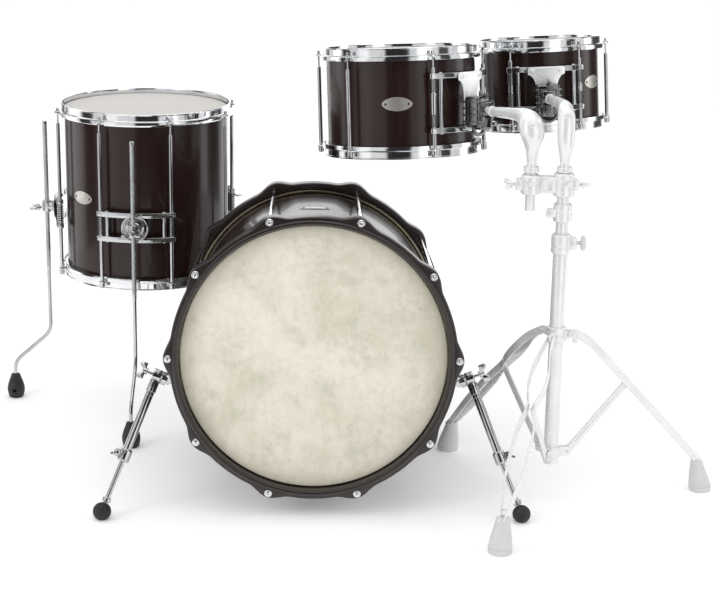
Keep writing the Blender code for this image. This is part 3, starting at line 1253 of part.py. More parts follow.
def centre_on_floor(kit):
    """Shift the kit so the middle of its box stands on the origin."""
    bpy.context.view_layer.update()
    corners = []
    for item in bpy.data.objects:
        if item.type == "MESH":
            corners += [item.matrix_world @ vertex.co for vertex in item.data.vertices]
    low = [min(corner[axis] for corner in corners) for axis in range(3)]
    high = [max(corner[axis] for corner in corners) for axis in range(3)]
    kit.location = (-(low[0] + high[0]) / 2, -(low[1] + high[1]) / 2, -low[2])
    bpy.context.view_layer.update()
    print("kit box", [round(b - a, 4) for a, b in zip(low, high)])
    print("kit shift", [round(value, 5) for value in kit.location])


def main():
    """Build the whole kit."""
    clear_scene()
    kit = empty("drum_kit", Matrix.Identity(4))
    build_bass(kit)
    build_spur(kit, "left", -1)
    build_spur(kit, "right", 1)
    build_floor_tom(kit)
    raised = build_stand(kit)
    build_toms_and_arms(raised)
    centre_on_floor(kit)
    print("least gap between a spring's curls, mm:", round(min(SPRING_GAPS) * 1000.0, 2))


main()
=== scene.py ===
"""Drum kit in a white studio: bass drum, floor tom, two rack toms and their double stand.

Lengths are in metres and angles in degrees; +Z is up and the front of the bass drum faces -Y.
"""

import sys

import logging
import math
from collections.abc import Callable, Iterable, Sequence
from dataclasses import dataclass
from enum import Enum

import bpy
from mathutils import Euler, Matrix, Vector


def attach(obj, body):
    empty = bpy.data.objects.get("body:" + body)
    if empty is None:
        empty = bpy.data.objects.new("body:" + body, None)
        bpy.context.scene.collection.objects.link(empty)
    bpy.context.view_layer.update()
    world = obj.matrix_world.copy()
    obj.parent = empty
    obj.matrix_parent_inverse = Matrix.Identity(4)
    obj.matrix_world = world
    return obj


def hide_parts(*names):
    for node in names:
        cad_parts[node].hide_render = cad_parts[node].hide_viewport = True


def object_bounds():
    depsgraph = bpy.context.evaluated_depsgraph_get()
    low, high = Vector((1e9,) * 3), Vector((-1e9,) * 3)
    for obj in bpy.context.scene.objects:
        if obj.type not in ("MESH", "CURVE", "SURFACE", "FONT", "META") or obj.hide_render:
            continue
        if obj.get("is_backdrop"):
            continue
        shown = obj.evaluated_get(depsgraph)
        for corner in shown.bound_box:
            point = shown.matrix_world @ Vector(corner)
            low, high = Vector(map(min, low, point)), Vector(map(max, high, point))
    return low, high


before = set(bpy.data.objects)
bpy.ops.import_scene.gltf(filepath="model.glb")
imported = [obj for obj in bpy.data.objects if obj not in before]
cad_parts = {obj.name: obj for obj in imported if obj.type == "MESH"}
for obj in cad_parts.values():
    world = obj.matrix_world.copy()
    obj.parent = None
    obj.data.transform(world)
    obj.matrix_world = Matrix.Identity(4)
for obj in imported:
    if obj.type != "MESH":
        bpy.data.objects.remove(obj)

LOG = logging.getLogger("drum_kit")
Item = bpy.types.Object
Material = bpy.types.Material
Socket = bpy.types.NodeSocket
Point = Sequence[float]
Pair = tuple[float, float]
Triple = tuple[float, float, float]

ROOT = "drums_and_bases"
FULL_TURN = 2.0 * math.pi

# Gap between pieces that meet, distance under which points are welded, angle of a sharp edge
GAP = 0.0003
WELD = 1e-6
SHARP = 35.0


# Places and paths

def polar(radius: float, angle: float, height: float = 0.0) -> Vector:
    """Point at an angle from -Y towards +X.

    Args:
        radius: Distance from the Z axis.
        angle: Angle in degrees.
        height: Height of the point.

    Returns:
        The point.
    """
    around = math.radians(angle)
    return Vector((radius * math.sin(around), -radius * math.cos(around), height))


def shift(x: float = 0.0, y: float = 0.0, z: float = 0.0) -> Matrix:
    """Placement moved by x, y and z."""
    return Matrix.Translation((x, y, z))


def turn(angle: float, axis: str = "Z") -> Matrix:
    """Placement turned by degrees about an axis."""
    return Matrix.Rotation(math.radians(angle), 4, axis)


def facing(origin: Point, z_axis: Point, x_hint: Point) -> Matrix:
    """Placement whose Z is z_axis and whose X lies near x_hint.

    Args:
        origin: Its origin.
        z_axis: Direction of Z.
        x_hint: Direction near X.

    Returns:
        The placement.
    """
    z = Vector(z_axis).normalized()
    y = z.cross(Vector(x_hint)).normalized()
    return Matrix.Translation(Vector(origin)) @ Matrix((y.cross(z), y, z)).transposed().to_4x4()


def eased(points: Iterable[Point], radius: float, steps: int = 6) -> list[Vector]:
    """Path whose inner corners are rounded.

    Args:
        points: Corners of the path.
        radius: How far from a corner its bend starts, at most.
        steps: Pieces in each bend.

    Returns:
        The points of the rounded path.
    """
    corners = [Vector(point) for point in points]
    path = [corners[0]]
    for before, corner, after in zip(corners, corners[1:], corners[2:]):
        reach = min(radius, (before - corner).length / 2, (after - corner).length / 2)
        start = corner + (before - corner).normalized() * reach
        end = corner + (after - corner).normalized() * reach
        for step in range(steps + 1):
            t = step / steps
            path.append(start.lerp(corner, t).lerp(corner.lerp(end, t), t))
    path.append(corners[-1])
    return path


def circle(radius: float, count: int) -> list[Vector]:
    """Points of a circle about Z."""
    return [polar(radius, 360.0 * k / count) for k in range(count)]


def oval(half_x: float, half_y: float, count: int = 64, power: float = 1.0) -> list[Vector]:
    """Outline of an oval; a power above one points its ends."""
    outline = []
    for k in range(count):
        angle = FULL_TURN * k / count
        height = math.copysign(abs(math.sin(angle)) ** power, math.sin(angle))
        outline.append(Vector((half_x * math.cos(angle), half_y * height, 0.0)))
    return outline


def softened(outline: Iterable[Point], radius: float, steps: int = 5) -> list[Vector]:
    """Closed outline with rounded corners."""
    corners = [Vector((*point[:2], 0.0)) for point in outline]
    closed = [corners[-1]] + corners + [corners[0]]
    return eased(closed, radius, steps)[1:-1]


def arc(wide: float, tall: float, level: float, step: float, count: int) -> list[Pair]:
    """Lower arc of an oval about a level, from its right side, in steps of an angle.

    Args:
        wide: Half of its width.
        tall: Half of its height.
        level: Height of its middle.
        step: Degrees between two points.
        count: Number of points.

    Returns:
        The points of the arc.
    """
    bends = [math.radians(step * k) for k in range(count)]
    return [(wide * math.cos(bend), level - tall * math.sin(bend)) for bend in bends]


def offset(radius: float, level: float, *steps: Point) -> list[Pair]:
    """Points of a profile, each given as its offset from a radius and a level."""
    return [(radius + out, level + up) for out, up in steps]


class Bench:
    """Modelling tools; each one works on an object through Blender's own operators."""

    def clear(self) -> None:
        """Leave edit mode with nothing selected."""
        if bpy.context.mode != "OBJECT":
            bpy.ops.object.mode_set(mode="OBJECT")
        bpy.ops.object.select_all(action="DESELECT")

    def pick(self, *items: Item) -> None:
        """Select the items, the first one active."""
        self.clear()
        for item in items:
            item.select_set(True)
        bpy.context.view_layer.objects.active = items[0]

    def edit(self, item: Item) -> None:
        """Open an item in edit mode with all of it selected."""
        self.pick(item)
        bpy.ops.object.mode_set(mode="EDIT")
        bpy.ops.mesh.select_all(action="SELECT")

    def close(self, item: Item) -> Item:
        """Turn the faces outward and leave edit mode."""
        bpy.ops.mesh.select_all(action="SELECT")
        bpy.ops.mesh.normals_make_consistent(inside=False)
        bpy.ops.object.mode_set(mode="OBJECT")
        return item

    def chain(self, name: str, points: Iterable[Point]) -> Item:
        """Wire through points, left open in edit mode.

        Args:
            name: Name of the new object.
            points: Points of the wire.

        Returns:
            The object, in edit mode.
        """
        self.clear()
        bpy.ops.mesh.primitive_plane_add(size=0.001)
        item = bpy.context.object
        item.name = name
        bpy.ops.object.mode_set(mode="EDIT")
        bpy.ops.mesh.select_all(action="SELECT")
        bpy.ops.mesh.merge(type="CENTER")
        path = [Vector((*point, 0.0)[:3]) for point in points]
        bpy.ops.transform.translate(value=path[0])
        for start, end in zip(path, path[1:]):
            bpy.ops.mesh.extrude_region_move(TRANSFORM_OT_translate={"value": end - start})
        return item

    def lathe(self, name: str, profile: Sequence[Point], steps: int = 96, rounding: float = 0.0) -> Item:
        """Solid turned about Z.

        Args:
            name: Name of the new object.
            profile: (radius, height) points; one that starts off the axis is a closed ring.
            steps: Facets round the axis.
            rounding: Size of the rounding of the profile's corners.

        Returns:
            The turned object.
        """
        ring = profile[0][0] > 0.0
        corners = [Vector((radius, 0.0, height)) for radius, height in profile]
        if rounding:
            corners = self.round_profile(corners, rounding, ring)
        item = self.chain(name, corners + corners[:1] if ring else corners)
        bpy.ops.mesh.select_all(action="SELECT")
        bpy.ops.mesh.spin(steps=steps, angle=FULL_TURN, center=(0, 0, 0), axis=(0, 0, 1))
        bpy.ops.mesh.select_all(action="SELECT")
        bpy.ops.mesh.remove_doubles(threshold=WELD)
        return self.close(item)

    def round_profile(self, corners: list[Vector], rounding: float, ring: bool) -> list[Vector]:
        """Profile with its corners rounded."""
        if not ring:
            return eased(corners, rounding, 4)
        return eased([corners[-1]] + corners + [corners[0]], rounding, 4)[1:-1]

    def slab(self, name: str, outline: Iterable[Point], depth: float, rounding: float = 0.0) -> Item:
        """Plate with an outline in X and Y, raised along Z.

        Args:
            name: Name of the new object.
            outline: Points of the outline.
            depth: Thickness of the plate.
            rounding: Rounding of its edges.

        Returns:
            The plate.
        """
        item = self.chain(name, outline)
        bpy.ops.mesh.select_all(action="SELECT")
        bpy.ops.mesh.edge_face_add()
        bpy.ops.mesh.extrude_region_move(TRANSFORM_OT_translate={"value": (0, 0, depth)})
        self.close(item)
        return self.bevel(item, rounding)

    def ring_plate(self, name: str, outer: Iterable[Point], inner: Iterable[Point], depth: float,
                   rounding: float = 0.0) -> Item:
        """Plate between two outlines, raised along Z.

        Args:
            name: Name of the new object.
            outer: Outer outline.
            inner: Outline of the opening, with as many points.
            depth: Thickness of the plate.
            rounding: Rounding of its edges.

        Returns:
            The plate.
        """
        loops = []
        for outline in (outer, inner):
            loops.append(self.chain(name, outline))
            bpy.ops.mesh.select_all(action="SELECT")
            bpy.ops.mesh.edge_face_add()
            bpy.ops.mesh.delete(type="ONLY_FACE")
        item = self.join(name, *loops)
        self.edit(item)
        bpy.ops.mesh.bridge_edge_loops()
        bpy.ops.mesh.select_all(action="SELECT")
        bpy.ops.mesh.extrude_region_move(TRANSFORM_OT_translate={"value": (0, 0, depth)})
        self.close(item)
        return self.bevel(item, rounding)

    def block(self, name: str, size: Point, centre: Point = (0, 0, 0), rounding: float = 0.0,
              taper: Point = (1.0, 1.0)) -> Item:
        """Box whose top is scaled by taper.

        Args:
            name: Name of the new object.
            size: Its three sides.
            centre: Its middle.
            rounding: Rounding of its edges.
            taper: Scale of its top in X and Y.

        Returns:
            The box.
        """
        self.clear()
        bpy.ops.mesh.primitive_cube_add(size=1.0)
        item = bpy.context.object
        item.name = name
        self.edit(item)
        bpy.ops.mesh.select_all(action="DESELECT")
        bpy.ops.object.mode_set(mode="OBJECT")
        for face in item.data.polygons:
            face.select = face.normal.z > 0.5
        bpy.ops.object.mode_set(mode="EDIT")
        bpy.ops.transform.resize(value=(*taper, 1.0))
        bpy.ops.mesh.select_all(action="SELECT")
        bpy.ops.transform.resize(value=size)
        bpy.ops.transform.translate(value=centre)
        self.close(item)
        return self.bevel(item, rounding)

    def post(self, name: str, radius: float, low: float, high: float, rounding: float = 0.0,
             steps: int = 32) -> Item:
        """Round bar about Z with rounded ends."""
        profile = [(0.0, low), (radius, low), (radius, high), (0.0, high)]
        return self.lathe(name, profile, steps, rounding)

    def tube(self, name: str, path: Sequence[Point], radius: float, radii: Sequence[float] | None = None,
             fineness: int = 4) -> Item:
        """Round bar along a path.

        Args:
            name: Name of the new object.
            path: Points of its centre line.
            radius: Its radius.
            radii: Scale of the radius at each point.
            fineness: Bevel resolution of the curve.

        Returns:
            The bar as a mesh.
        """
        return self.along(name, path, radii, {"bevel_depth": radius, "bevel_resolution": fineness})

    def strap(self, name: str, path: Sequence[Point], width: float, gauge: float) -> Item:
        """Flat bar along a path, its width upright and its edges round.

        Args:
            name: Name of the new object.
            path: Points of its centre line.
            width: Its width.
            gauge: Its thickness.

        Returns:
            The bar as a mesh.
        """
        settings = {"bevel_depth": gauge / 2, "extrude": (width - gauge) / 2, "bevel_resolution": 2}
        return self.along(name, path, None, {"twist_mode": "Z_UP", **settings})

    def along(self, name: str, path: Sequence[Point], radii: Sequence[float] | None,
              settings: dict[str, object]) -> Item:
        """Curve through a path, made into a mesh."""
        self.clear()
        bpy.ops.curve.primitive_nurbs_path_add()
        item = bpy.context.object
        item.name = name
        curve = item.data
        curve.splines.clear()
        line = curve.splines.new("POLY")
        line.points.add(len(path) - 1)
        for place, point, scale in zip(line.points, path, radii or [1.0] * len(path)):
            place.co = (*point, 1.0)
            place.radius = scale
        curve.use_fill_caps = True
        for key, value in settings.items():
            setattr(curve, key, value)
        bpy.ops.object.convert(target="MESH")
        self.edit(item)
        bpy.ops.mesh.remove_doubles(threshold=WELD)
        return self.close(item)

    def coil(self, name: str, radius: float, wire: float, low: float, high: float, turns: int) -> Item:
        """Coil spring about Z.

        Args:
            name: Name of the new object.
            radius: Radius of the coil's centre line.
            wire: Thickness of the wire.
            low: Where it starts.
            high: Where it ends.
            turns: Number of curls.

        Returns:
            The spring.
        """
        self.clear()
        bpy.ops.mesh.primitive_circle_add(
            vertices=8, radius=wire / 2, fill_type="NGON", location=(radius, 0, low + wire / 2),
            rotation=(math.pi / 2, 0, 0))
        item = bpy.context.object
        item.name = name
        bpy.ops.object.transform_apply(location=True, rotation=True, scale=True)
        screw = item.modifiers.new("turns", "SCREW")
        screw.axis = "Z"
        screw.iterations = turns
        screw.screw_offset = (high - low - wire) / turns
        screw.steps = 20
        screw.render_steps = 20
        bpy.ops.object.modifier_apply(modifier=screw.name)
        self.edit(item)
        return self.close(item)

    def bevel(self, item: Item, size: float, angle: float = SHARP, segments: int = 3) -> Item:
        """Round the edges sharper than an angle."""
        if size > 0.0:
            self.pick(item)
            step = item.modifiers.new("rounding", "BEVEL")
            step.width = size
            step.segments = segments
            step.limit_method = "ANGLE"
            step.angle_limit = math.radians(angle)
            bpy.ops.object.modifier_apply(modifier=step.name)
        return item

    def cut(self, item: Item, *cutters: Item) -> Item:
        """Take the cutters out of an item."""
        for cutter in cutters:
            self.pick(item)
            step = item.modifiers.new("opening", "BOOLEAN")
            step.operation = "DIFFERENCE"
            step.solver = "EXACT"
            step.object = cutter
            bpy.ops.object.modifier_apply(modifier=step.name)
            bpy.data.objects.remove(cutter, do_unlink=True)
        return item

    def join(self, name: str, *items: Item) -> Item:
        """One object of several."""
        self.pick(*items)
        if len(items) > 1:
            bpy.ops.object.join()
        items[0].name = name
        return items[0]

    def move(self, item: Item, place: Matrix) -> Item:
        """Put an item in a place, in its mesh."""
        self.pick(item)
        item.matrix_world = place
        bpy.ops.object.transform_apply(location=True, rotation=True, scale=True)
        return item

    def repeat(self, item: Item, places: Sequence[Matrix]) -> Item:
        """Copies of an item at several places, as one object.

        Args:
            item: What is repeated; it is used up.
            places: Where each copy goes.

        Returns:
            The joined copies.
        """
        copies = []
        for place in places[1:]:
            self.pick(item)
            bpy.ops.object.duplicate(linked=False)
            copies.append(self.move(bpy.context.object, place))
        self.move(item, places[0])
        return self.join(item.name, item, *copies)

    def wrap(self, item: Item, radius: float) -> Item:
        """Bend a flat item about Z, so that its Y is up and its Z points away from the axis."""
        for vertex in item.data.vertices:
            angle = math.degrees(vertex.co.x / radius)
            vertex.co = polar(radius + vertex.co.z, angle, vertex.co.y)
        self.edit(item)
        return self.close(item)

    def fit(self, item: Item, place: Matrix, finish: "Finish", body: str, node: str,
            stands_for: bool = False) -> Item:
        """Args:
            item: The piece, in its own frame.
            finish: What it is dressed in.
            body: Body that it rides on.
            node: Node of the model that it goes with; hidden when it stands for it.
            stands_for: Whether that node isn't shown.

        Returns:
            The piece.
        """
        self.move(item, place)
        bpy.ops.object.shade_smooth_by_angle(angle=math.radians(SHARP))
        item.data.materials.clear()
        item.data.materials.append(finish.material())
        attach(item, body)
        if stands_for:
            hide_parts(node)
        LOG.info("%s: %d faces", item.name, len(item.data.polygons))
        return item


BENCH = Bench()


# Shader building

def operator(operation: str, swapped: bool = False) -> Callable[["Number", "Number | float"], "Number"]:
    """Arithmetic method that adds one kind of Math node.

    Args:
        operation: Kind of the node.
        swapped: Whether the other operand comes first.

    Returns:
        The method.
    """

    def method(number: "Number", other: "Number | float") -> "Number":
        """Result of the node fed with both operands."""
        return number.apply(operation, *((other, number) if swapped else (number, other)))

    return method


class Number:
    """A number in a shader; arithmetic on it adds Math nodes."""

    def __init__(self, tree: "Tree", socket: Socket) -> None:
        """Wrap a socket of a tree."""
        self.tree = tree
        self.socket = socket

    def apply(self, operation: str, *values: "Number | float") -> "Number":
        """Result of a Math node fed with the values."""
        fed = {index: value for index, value in enumerate(values)}
        made = self.tree.node("ShaderNodeMath", {"operation": operation}, fed)
        return Number(self.tree, made.outputs[0])

    __add__ = operator("ADD")
    __radd__ = operator("ADD", True)
    __sub__ = operator("SUBTRACT")
    __rsub__ = operator("SUBTRACT", True)
    __mul__ = operator("MULTIPLY")
    __truediv__ = operator("DIVIDE")
    __pow__ = operator("POWER")

    def size(self) -> "Number":
        """The number without its sign."""
        return self.apply("ABSOLUTE", self)

    def sine(self) -> "Number":
        """Sine of the number."""
        return self.apply("SINE", self)

    def clamped(self) -> "Number":
        """The number kept between zero and one."""
        return self.apply("MINIMUM", self.apply("MAXIMUM", self, 0.0), 1.0)

    def step(self, low: float, high: float) -> "Number":
        """Smooth rise from zero at low to one at high."""
        made = self.tree.node(
            "ShaderNodeMapRange", {"interpolation_type": "SMOOTHSTEP"},
            {"Value": self, "From Min": low, "From Max": high, "To Min": 0.0, "To Max": 1.0})
        return Number(self.tree, made.outputs[0])


@dataclass(frozen=True)
class Place:
    origin: Triple = (0.0, 0.0, 0.0)
    lean: Triple = (0.0, 0.0, 0.0)

    def radians(self) -> Triple:
        """The lean in radians."""
        x, y, z = self.lean
        return math.radians(x), math.radians(y), math.radians(z)

    def matrix(self) -> Matrix:
        """The frame as a matrix."""
        return Matrix.Translation(self.origin) @ Euler(self.radians(), "XYZ").to_matrix().to_4x4()


class Tree:
    """A material under construction."""

    def __init__(self, name: str) -> None:
        """Start a material with its Principled shader."""
        self.material = bpy.data.materials.new(name)
        self.material.use_nodes = True
        self.shader = self.material.node_tree.nodes["Principled BSDF"]

    def node(self, kind: str, settings: dict[str, object] | None = None,
             values: dict[str | int, object] | None = None) -> bpy.types.Node:
        """Add any node.

        Args:
            kind: Its type.
            settings: Its own settings.
            values: What each input gets, a plain value or something linked.

        Returns:
            The node.
        """
        made = self.material.node_tree.nodes.new(kind)
        for key, value in (settings or {}).items():
            setattr(made, key, value)
        for key, value in (values or {}).items():
            self.feed(made.inputs[key], value)
        return made

    def feed(self, socket: Socket, value: object) -> None:
        """Give an input a value or a link."""
        if isinstance(value, Number):
            value = value.socket
        if isinstance(value, Socket):
            self.material.node_tree.links.new(value, socket)
        else:
            socket.default_value = value

    def coordinates(self, place: Place = Place(), scale: Point = (1.0, 1.0, 1.0)) -> Socket:
        """Object coordinates in a drum's own frame, stretched by a scale."""
        source = self.node("ShaderNodeTexCoord").outputs["Object"]
        local = self.node("ShaderNodeMapping", {"vector_type": "TEXTURE"},
                          {"Vector": source, "Location": place.origin, "Rotation": place.radians()})
        grown = self.node(
            "ShaderNodeVectorMath", {"operation": "MULTIPLY"}, {0: local.outputs[0], 1: scale})
        return grown.outputs[0]

    def split(self, vector: Socket) -> tuple[Number, Number, Number]:
        """The three parts of a vector."""
        made = self.node("ShaderNodeSeparateXYZ", None, {0: vector})
        return tuple(Number(self, socket) for socket in made.outputs)

    def noise(self, vector: Socket, scale: float, detail: float = 4.0, roughness: float = 0.55,
              distortion: float = 0.0) -> Number:
        """Cloudy pattern between zero and one."""
        values = {"Vector": vector, "Scale": scale, "Detail": detail, "Roughness": roughness,
                  "Distortion": distortion}
        made = self.node("ShaderNodeTexNoise", None, values)
        return Number(self, made.outputs[0])

    def cells(self, vector: Socket, scale: float, feature: str = "F1") -> Number:
        """Distance pattern of scattered cells."""
        made = self.node("ShaderNodeTexVoronoi", {"feature": feature}, {"Vector": vector, "Scale": scale})
        return Number(self, made.outputs[0])

    def blend(self, factor: Number | float, low: object, high: object) -> Socket:
        """Colour between low and high."""
        colours = [(*value, 1.0) if isinstance(value, tuple) else value for value in (low, high)]
        made = self.node("ShaderNodeMix", {"data_type": "RGBA"}, {0: factor, 6: colours[0], 7: colours[1]})
        return made.outputs[2]

    def relief(self, height: Number, strength: float, distance: float) -> None:
        """Bump the surface."""
        made = self.node(
            "ShaderNodeBump", None, {"Strength": strength, "Distance": distance, "Height": height})
        self.feed(self.shader.inputs["Normal"], made.outputs[0])

    def dress(self, **values: object) -> Material:
        """Feed the shader's inputs, named with underscores for spaces, and return the material."""
        for key, value in values.items():
            socket = self.shader.inputs[key.replace("_", " ")]
            if isinstance(value, tuple):
                value = (*value, 1.0)
            self.feed(socket, value)
        return self.material


@dataclass(frozen=True)
class Finish:
    """A surface; each kind builds its material once."""

    name: str

    def material(self) -> Material:
        """The finish's material."""
        return bpy.data.materials.get(self.name) or self.build(Tree(self.name))

    def build(self, tree: Tree) -> Material:
        """Make the material in a tree."""
        return tree.dress(Base_Color=(0.5, 0.5, 0.5))


@dataclass(frozen=True)
class ShellLacquer(Finish):
    """Glossy dark stain over upright grain outside, bare maple inside."""

    place: Place = Place()
    inside: float = 0.0

    def build(self, tree: Tree) -> Material:
        """Make the material in a tree."""
        x, y, _ = tree.split(tree.coordinates(self.place))
        radius = (x * x + y * y) ** 0.5
        bare = 1.0 - radius.step(self.inside - 0.0004, self.inside + 0.0004)
        upright = tree.coordinates(self.place, (1.0, 1.0, 0.07))
        round_it = tree.coordinates(self.place, (1.0, 1.0, 9.0))
        grain = tree.noise(upright, 95.0, 6.0, 0.62, 0.6)
        cloud = tree.noise(tree.coordinates(self.place), 5.0, 3.0)
        pores = tree.noise(upright, 520.0, 3.0, 0.7)
        stain = tree.blend((grain * 0.7 + cloud * 0.5 - 0.15).clamped(), (0.0092, 0.0042, 0.0038),
                           (0.033, 0.014, 0.0112))
        dark = tree.blend(pores.step(0.6, 0.74) * 0.5, stain, (0.006, 0.004, 0.004))
        maple = tree.blend(
            tree.noise(round_it, 26.0, 6.0, 0.6, 0.5), (0.36, 0.22, 0.11), (0.56, 0.38, 0.2))
        smear = tree.noise(tree.coordinates(self.place), 13.0, 5.0, 0.6)
        tree.relief(grain * 0.35 + tree.noise(tree.coordinates(self.place), 150.0, 2.0) * 0.5, 0.1, 0.0006)
        return tree.dress(
            Base_Color=tree.blend(bare, dark, maple), Roughness=0.17 + smear * 0.14 + bare * 0.3,
            Coat_Weight=0.3 - bare * 0.25, Coat_Roughness=0.06, Specular_IOR_Level=0.24)


@dataclass(frozen=True)
class HoopLacquer(Finish):
    """Satin dark stain, rubbed paler where hands touch it."""

    def build(self, tree: Tree) -> Material:
        """Make the material in a tree."""
        plain = tree.coordinates()
        grain = tree.noise(tree.coordinates(scale=(1.0, 0.35, 1.0)), 70.0, 6.0, 0.6, 0.8)
        rubbed = tree.noise(plain, 8.0, 5.0, 0.65).step(0.52, 0.78)
        nicks = tree.noise(plain, 210.0, 3.0, 0.6).step(0.71, 0.77)
        base = tree.blend(grain, (0.0085, 0.0052, 0.0045), (0.024, 0.014, 0.012))
        worn = tree.blend(rubbed * 0.35 + nicks * 0.3, base, (0.06, 0.041, 0.034))
        tree.relief(grain * 0.5 - nicks * 0.6, 0.12, 0.0005)
        return tree.dress(Base_Color=worn, Roughness=0.3 + rubbed * 0.12 + grain * 0.06, Coat_Weight=0.25,
                          Coat_Roughness=0.22)


@dataclass(frozen=True)
class Parchment(Finish):
    """Cream film mottled like hide, darker towards its edge with painted shade of the hoop."""

    place: Place = Place()
    radius: float = 0.2525

    def build(self, tree: Tree) -> Material:
        """Make the material in a tree."""
        plain = tree.coordinates(self.place)
        x, y, _ = tree.split(plain)
        edge = ((x * x + y * y) ** 0.5 / self.radius).step(0.8, 1.0)
        clouds = tree.noise(plain, 6.5, 7.0, 0.66, 0.2).step(0.4, 0.64)
        blotch = tree.noise(plain, 17.0, 7.0, 0.7, 0.2).step(0.48, 0.7)
        mottle = tree.noise(plain, 62.0, 5.0, 0.66, 0.2).step(0.44, 0.66)
        fibre = tree.noise(tree.coordinates(self.place, (3.4, 0.8, 1.0)), 30.0, 8.0, 0.68, 0.5)
        cracks = tree.cells(tree.coordinates(self.place, (2.2, 0.9, 1.0)), 9.0, "DISTANCE_TO_EDGE")
        veins = 1.0 - cracks.step(0.0, 0.05)
        specks = tree.noise(plain, 260.0, 2.0, 0.5).step(0.7, 0.8)
        pale = tree.blend(clouds, (0.775, 0.725, 0.625), (0.635, 0.6, 0.485))
        mottled = tree.blend(blotch * 0.42 + mottle * 0.24, pale, (0.47, 0.46, 0.36))
        streaked = tree.blend(fibre.step(0.5, 0.78) * 0.4, mottled, (0.84, 0.8, 0.72))
        veined = tree.blend(veins * clouds * 0.12, streaked, (0.86, 0.835, 0.77))
        specked = tree.blend(specks * 0.35, veined, (0.42, 0.39, 0.29))
        # Painted shade: the film is darkened towards its edge, standing in for the hoop's shade over it.
        hoop_shaded = tree.blend(edge * edge * 0.32, specked, (0.5, 0.47, 0.34))
        tree.relief(fibre * 0.6 + clouds * 0.3, 0.12, 0.0006)
        return tree.dress(Base_Color=hoop_shaded, Roughness=0.5 + fibre * 0.16, Specular_IOR_Level=0.35)


@dataclass(frozen=True)
class CoatedFilm(Finish):
    """White film with a sandy coating and the faint marks of sticks."""

    place: Place = Place()
    radius: float = 0.17

    def build(self, tree: Tree) -> Material:
        """Make the material in a tree."""
        plain = tree.coordinates(self.place)
        x, y, _ = tree.split(plain)
        away = (x * x + y * y) ** 0.5 / self.radius
        played = (1.0 - away.step(0.1, 0.75)) * tree.noise(plain, 55.0, 5.0, 0.7, 0.5).step(0.5, 0.72)
        sand = tree.noise(plain, 900.0, 3.0, 0.6)
        cloud = tree.noise(plain, 12.0, 4.0)
        white = tree.blend(cloud, (0.535, 0.515, 0.49), (0.6, 0.58, 0.555))
        marked = tree.blend(played * 0.22, white, (0.5, 0.5, 0.49))
        edged = tree.blend(away.step(0.93, 1.0) * 0.18, marked, (0.6, 0.6, 0.58))
        tree.relief(sand, 0.28, 0.0004)
        return tree.dress(Base_Color=edged, Roughness=0.62 - played * 0.16 + sand * 0.08)


@dataclass(frozen=True)
class HazyFilm(Finish):
    """Thin milky film of the lower heads."""

    def build(self, tree: Tree) -> Material:
        """Make the material in a tree."""
        plain = tree.coordinates()
        haze = tree.noise(plain, 16.0, 5.0, 0.6)
        return tree.dress(Base_Color=tree.blend(haze, (0.5, 0.51, 0.51), (0.66, 0.67, 0.66)),
                          Roughness=0.16 + haze * 0.16, Coat_Weight=0.3)


@dataclass(frozen=True)
class Plating(Finish):
    """Plated metal with smears, fine hairlines and a little haze."""

    pale: Triple = (0.84, 0.85, 0.865)
    deep: Triple = (0.58, 0.59, 0.605)
    polish: float = 0.035
    haze: float = 0.1
    metal: float = 1.0
    knurl: float = 0.0
    speck: float = 0.3

    def build(self, tree: Tree) -> Material:
        """Make the material in a tree."""
        plain = tree.coordinates()
        smear = tree.noise(plain, 22.0, 5.0, 0.62, 0.6).step(0.38, 0.72)
        line = tree.noise(tree.coordinates(scale=(1.0, 1.0, 14.0)), 160.0, 3.0, 0.7)
        spots = tree.noise(plain, 420.0, 2.0, 0.5).step(0.69, 0.76)
        tint = tree.blend(smear * 0.5 + line * 0.2, self.pale, self.deep)
        spotted = tree.blend(spots * self.speck, tint, (0.42, 0.41, 0.39))
        height = line * 0.15 + smear * 0.1
        if self.knurl:
            x, y, z = tree.split(tree.coordinates(scale=(self.knurl, self.knurl, self.knurl)))
            height = height + ((x + y + z).sine() * (x + y - z).sine()) * 0.8
        tree.relief(height, 0.08 if not self.knurl else 0.55, 0.0004)
        return tree.dress(Base_Color=spotted, Metallic=self.metal, Roughness=self.polish + smear * self.haze
                          + spots * 0.2)


@dataclass(frozen=True)
class Rubber(Finish):
    """Moulded rubber with dust in its grain."""

    colour: Triple = (0.011, 0.011, 0.012)
    dust: Triple = (0.055, 0.053, 0.05)

    def build(self, tree: Tree) -> Material:
        """Make the material in a tree."""
        plain = tree.coordinates()
        grain = tree.noise(plain, 700.0, 3.0, 0.6)
        dusty = tree.noise(plain, 45.0, 5.0, 0.65).step(0.46, 0.74)
        tree.relief(grain, 0.35, 0.0005)
        return tree.dress(Base_Color=tree.blend(dusty * 0.6 + grain * 0.15, self.colour, self.dust),
                          Roughness=0.52 + dusty * 0.25, Specular_IOR_Level=0.4)


CHROME = Plating("chrome")
# Painted shade: the hoops' chrome made darker for rods, legs, brackets and spurs, standing in for their
# darker reflections and shadowed heads.
SHADED_CHROME = Plating("rod_chrome", (0.6, 0.605, 0.615), (0.38, 0.385, 0.39), 0.06, 0.1)
KNURLED = Plating("knurled_chrome", (0.56, 0.565, 0.575), (0.4, 0.405, 0.41), 0.16, 0.16, knurl=2600.0)
BRONZE = Plating("bass_flesh_hoop", (0.5, 0.44, 0.32), (0.34, 0.3, 0.21), 0.22, 0.14)
STEEL = Plating("spring_steel", (0.17, 0.17, 0.165), (0.09, 0.09, 0.09), 0.24, 0.18)
SATIN = Plating("satin_chrome", (0.9, 0.905, 0.91), (0.8, 0.805, 0.81), 0.26, 0.1, 0.35)
SMOKED = Plating("smoked_chrome", (0.22, 0.217, 0.214), (0.06, 0.058, 0.056), 0.05, 0.1)
PINS = Plating("badge_pins", (0.1, 0.095, 0.09), (0.06, 0.06, 0.055), 0.3, 0.12)
BRUSHED = Plating("badge_metal", (0.62, 0.6, 0.56), (0.4, 0.385, 0.35), 0.26, 0.14, 0.8)
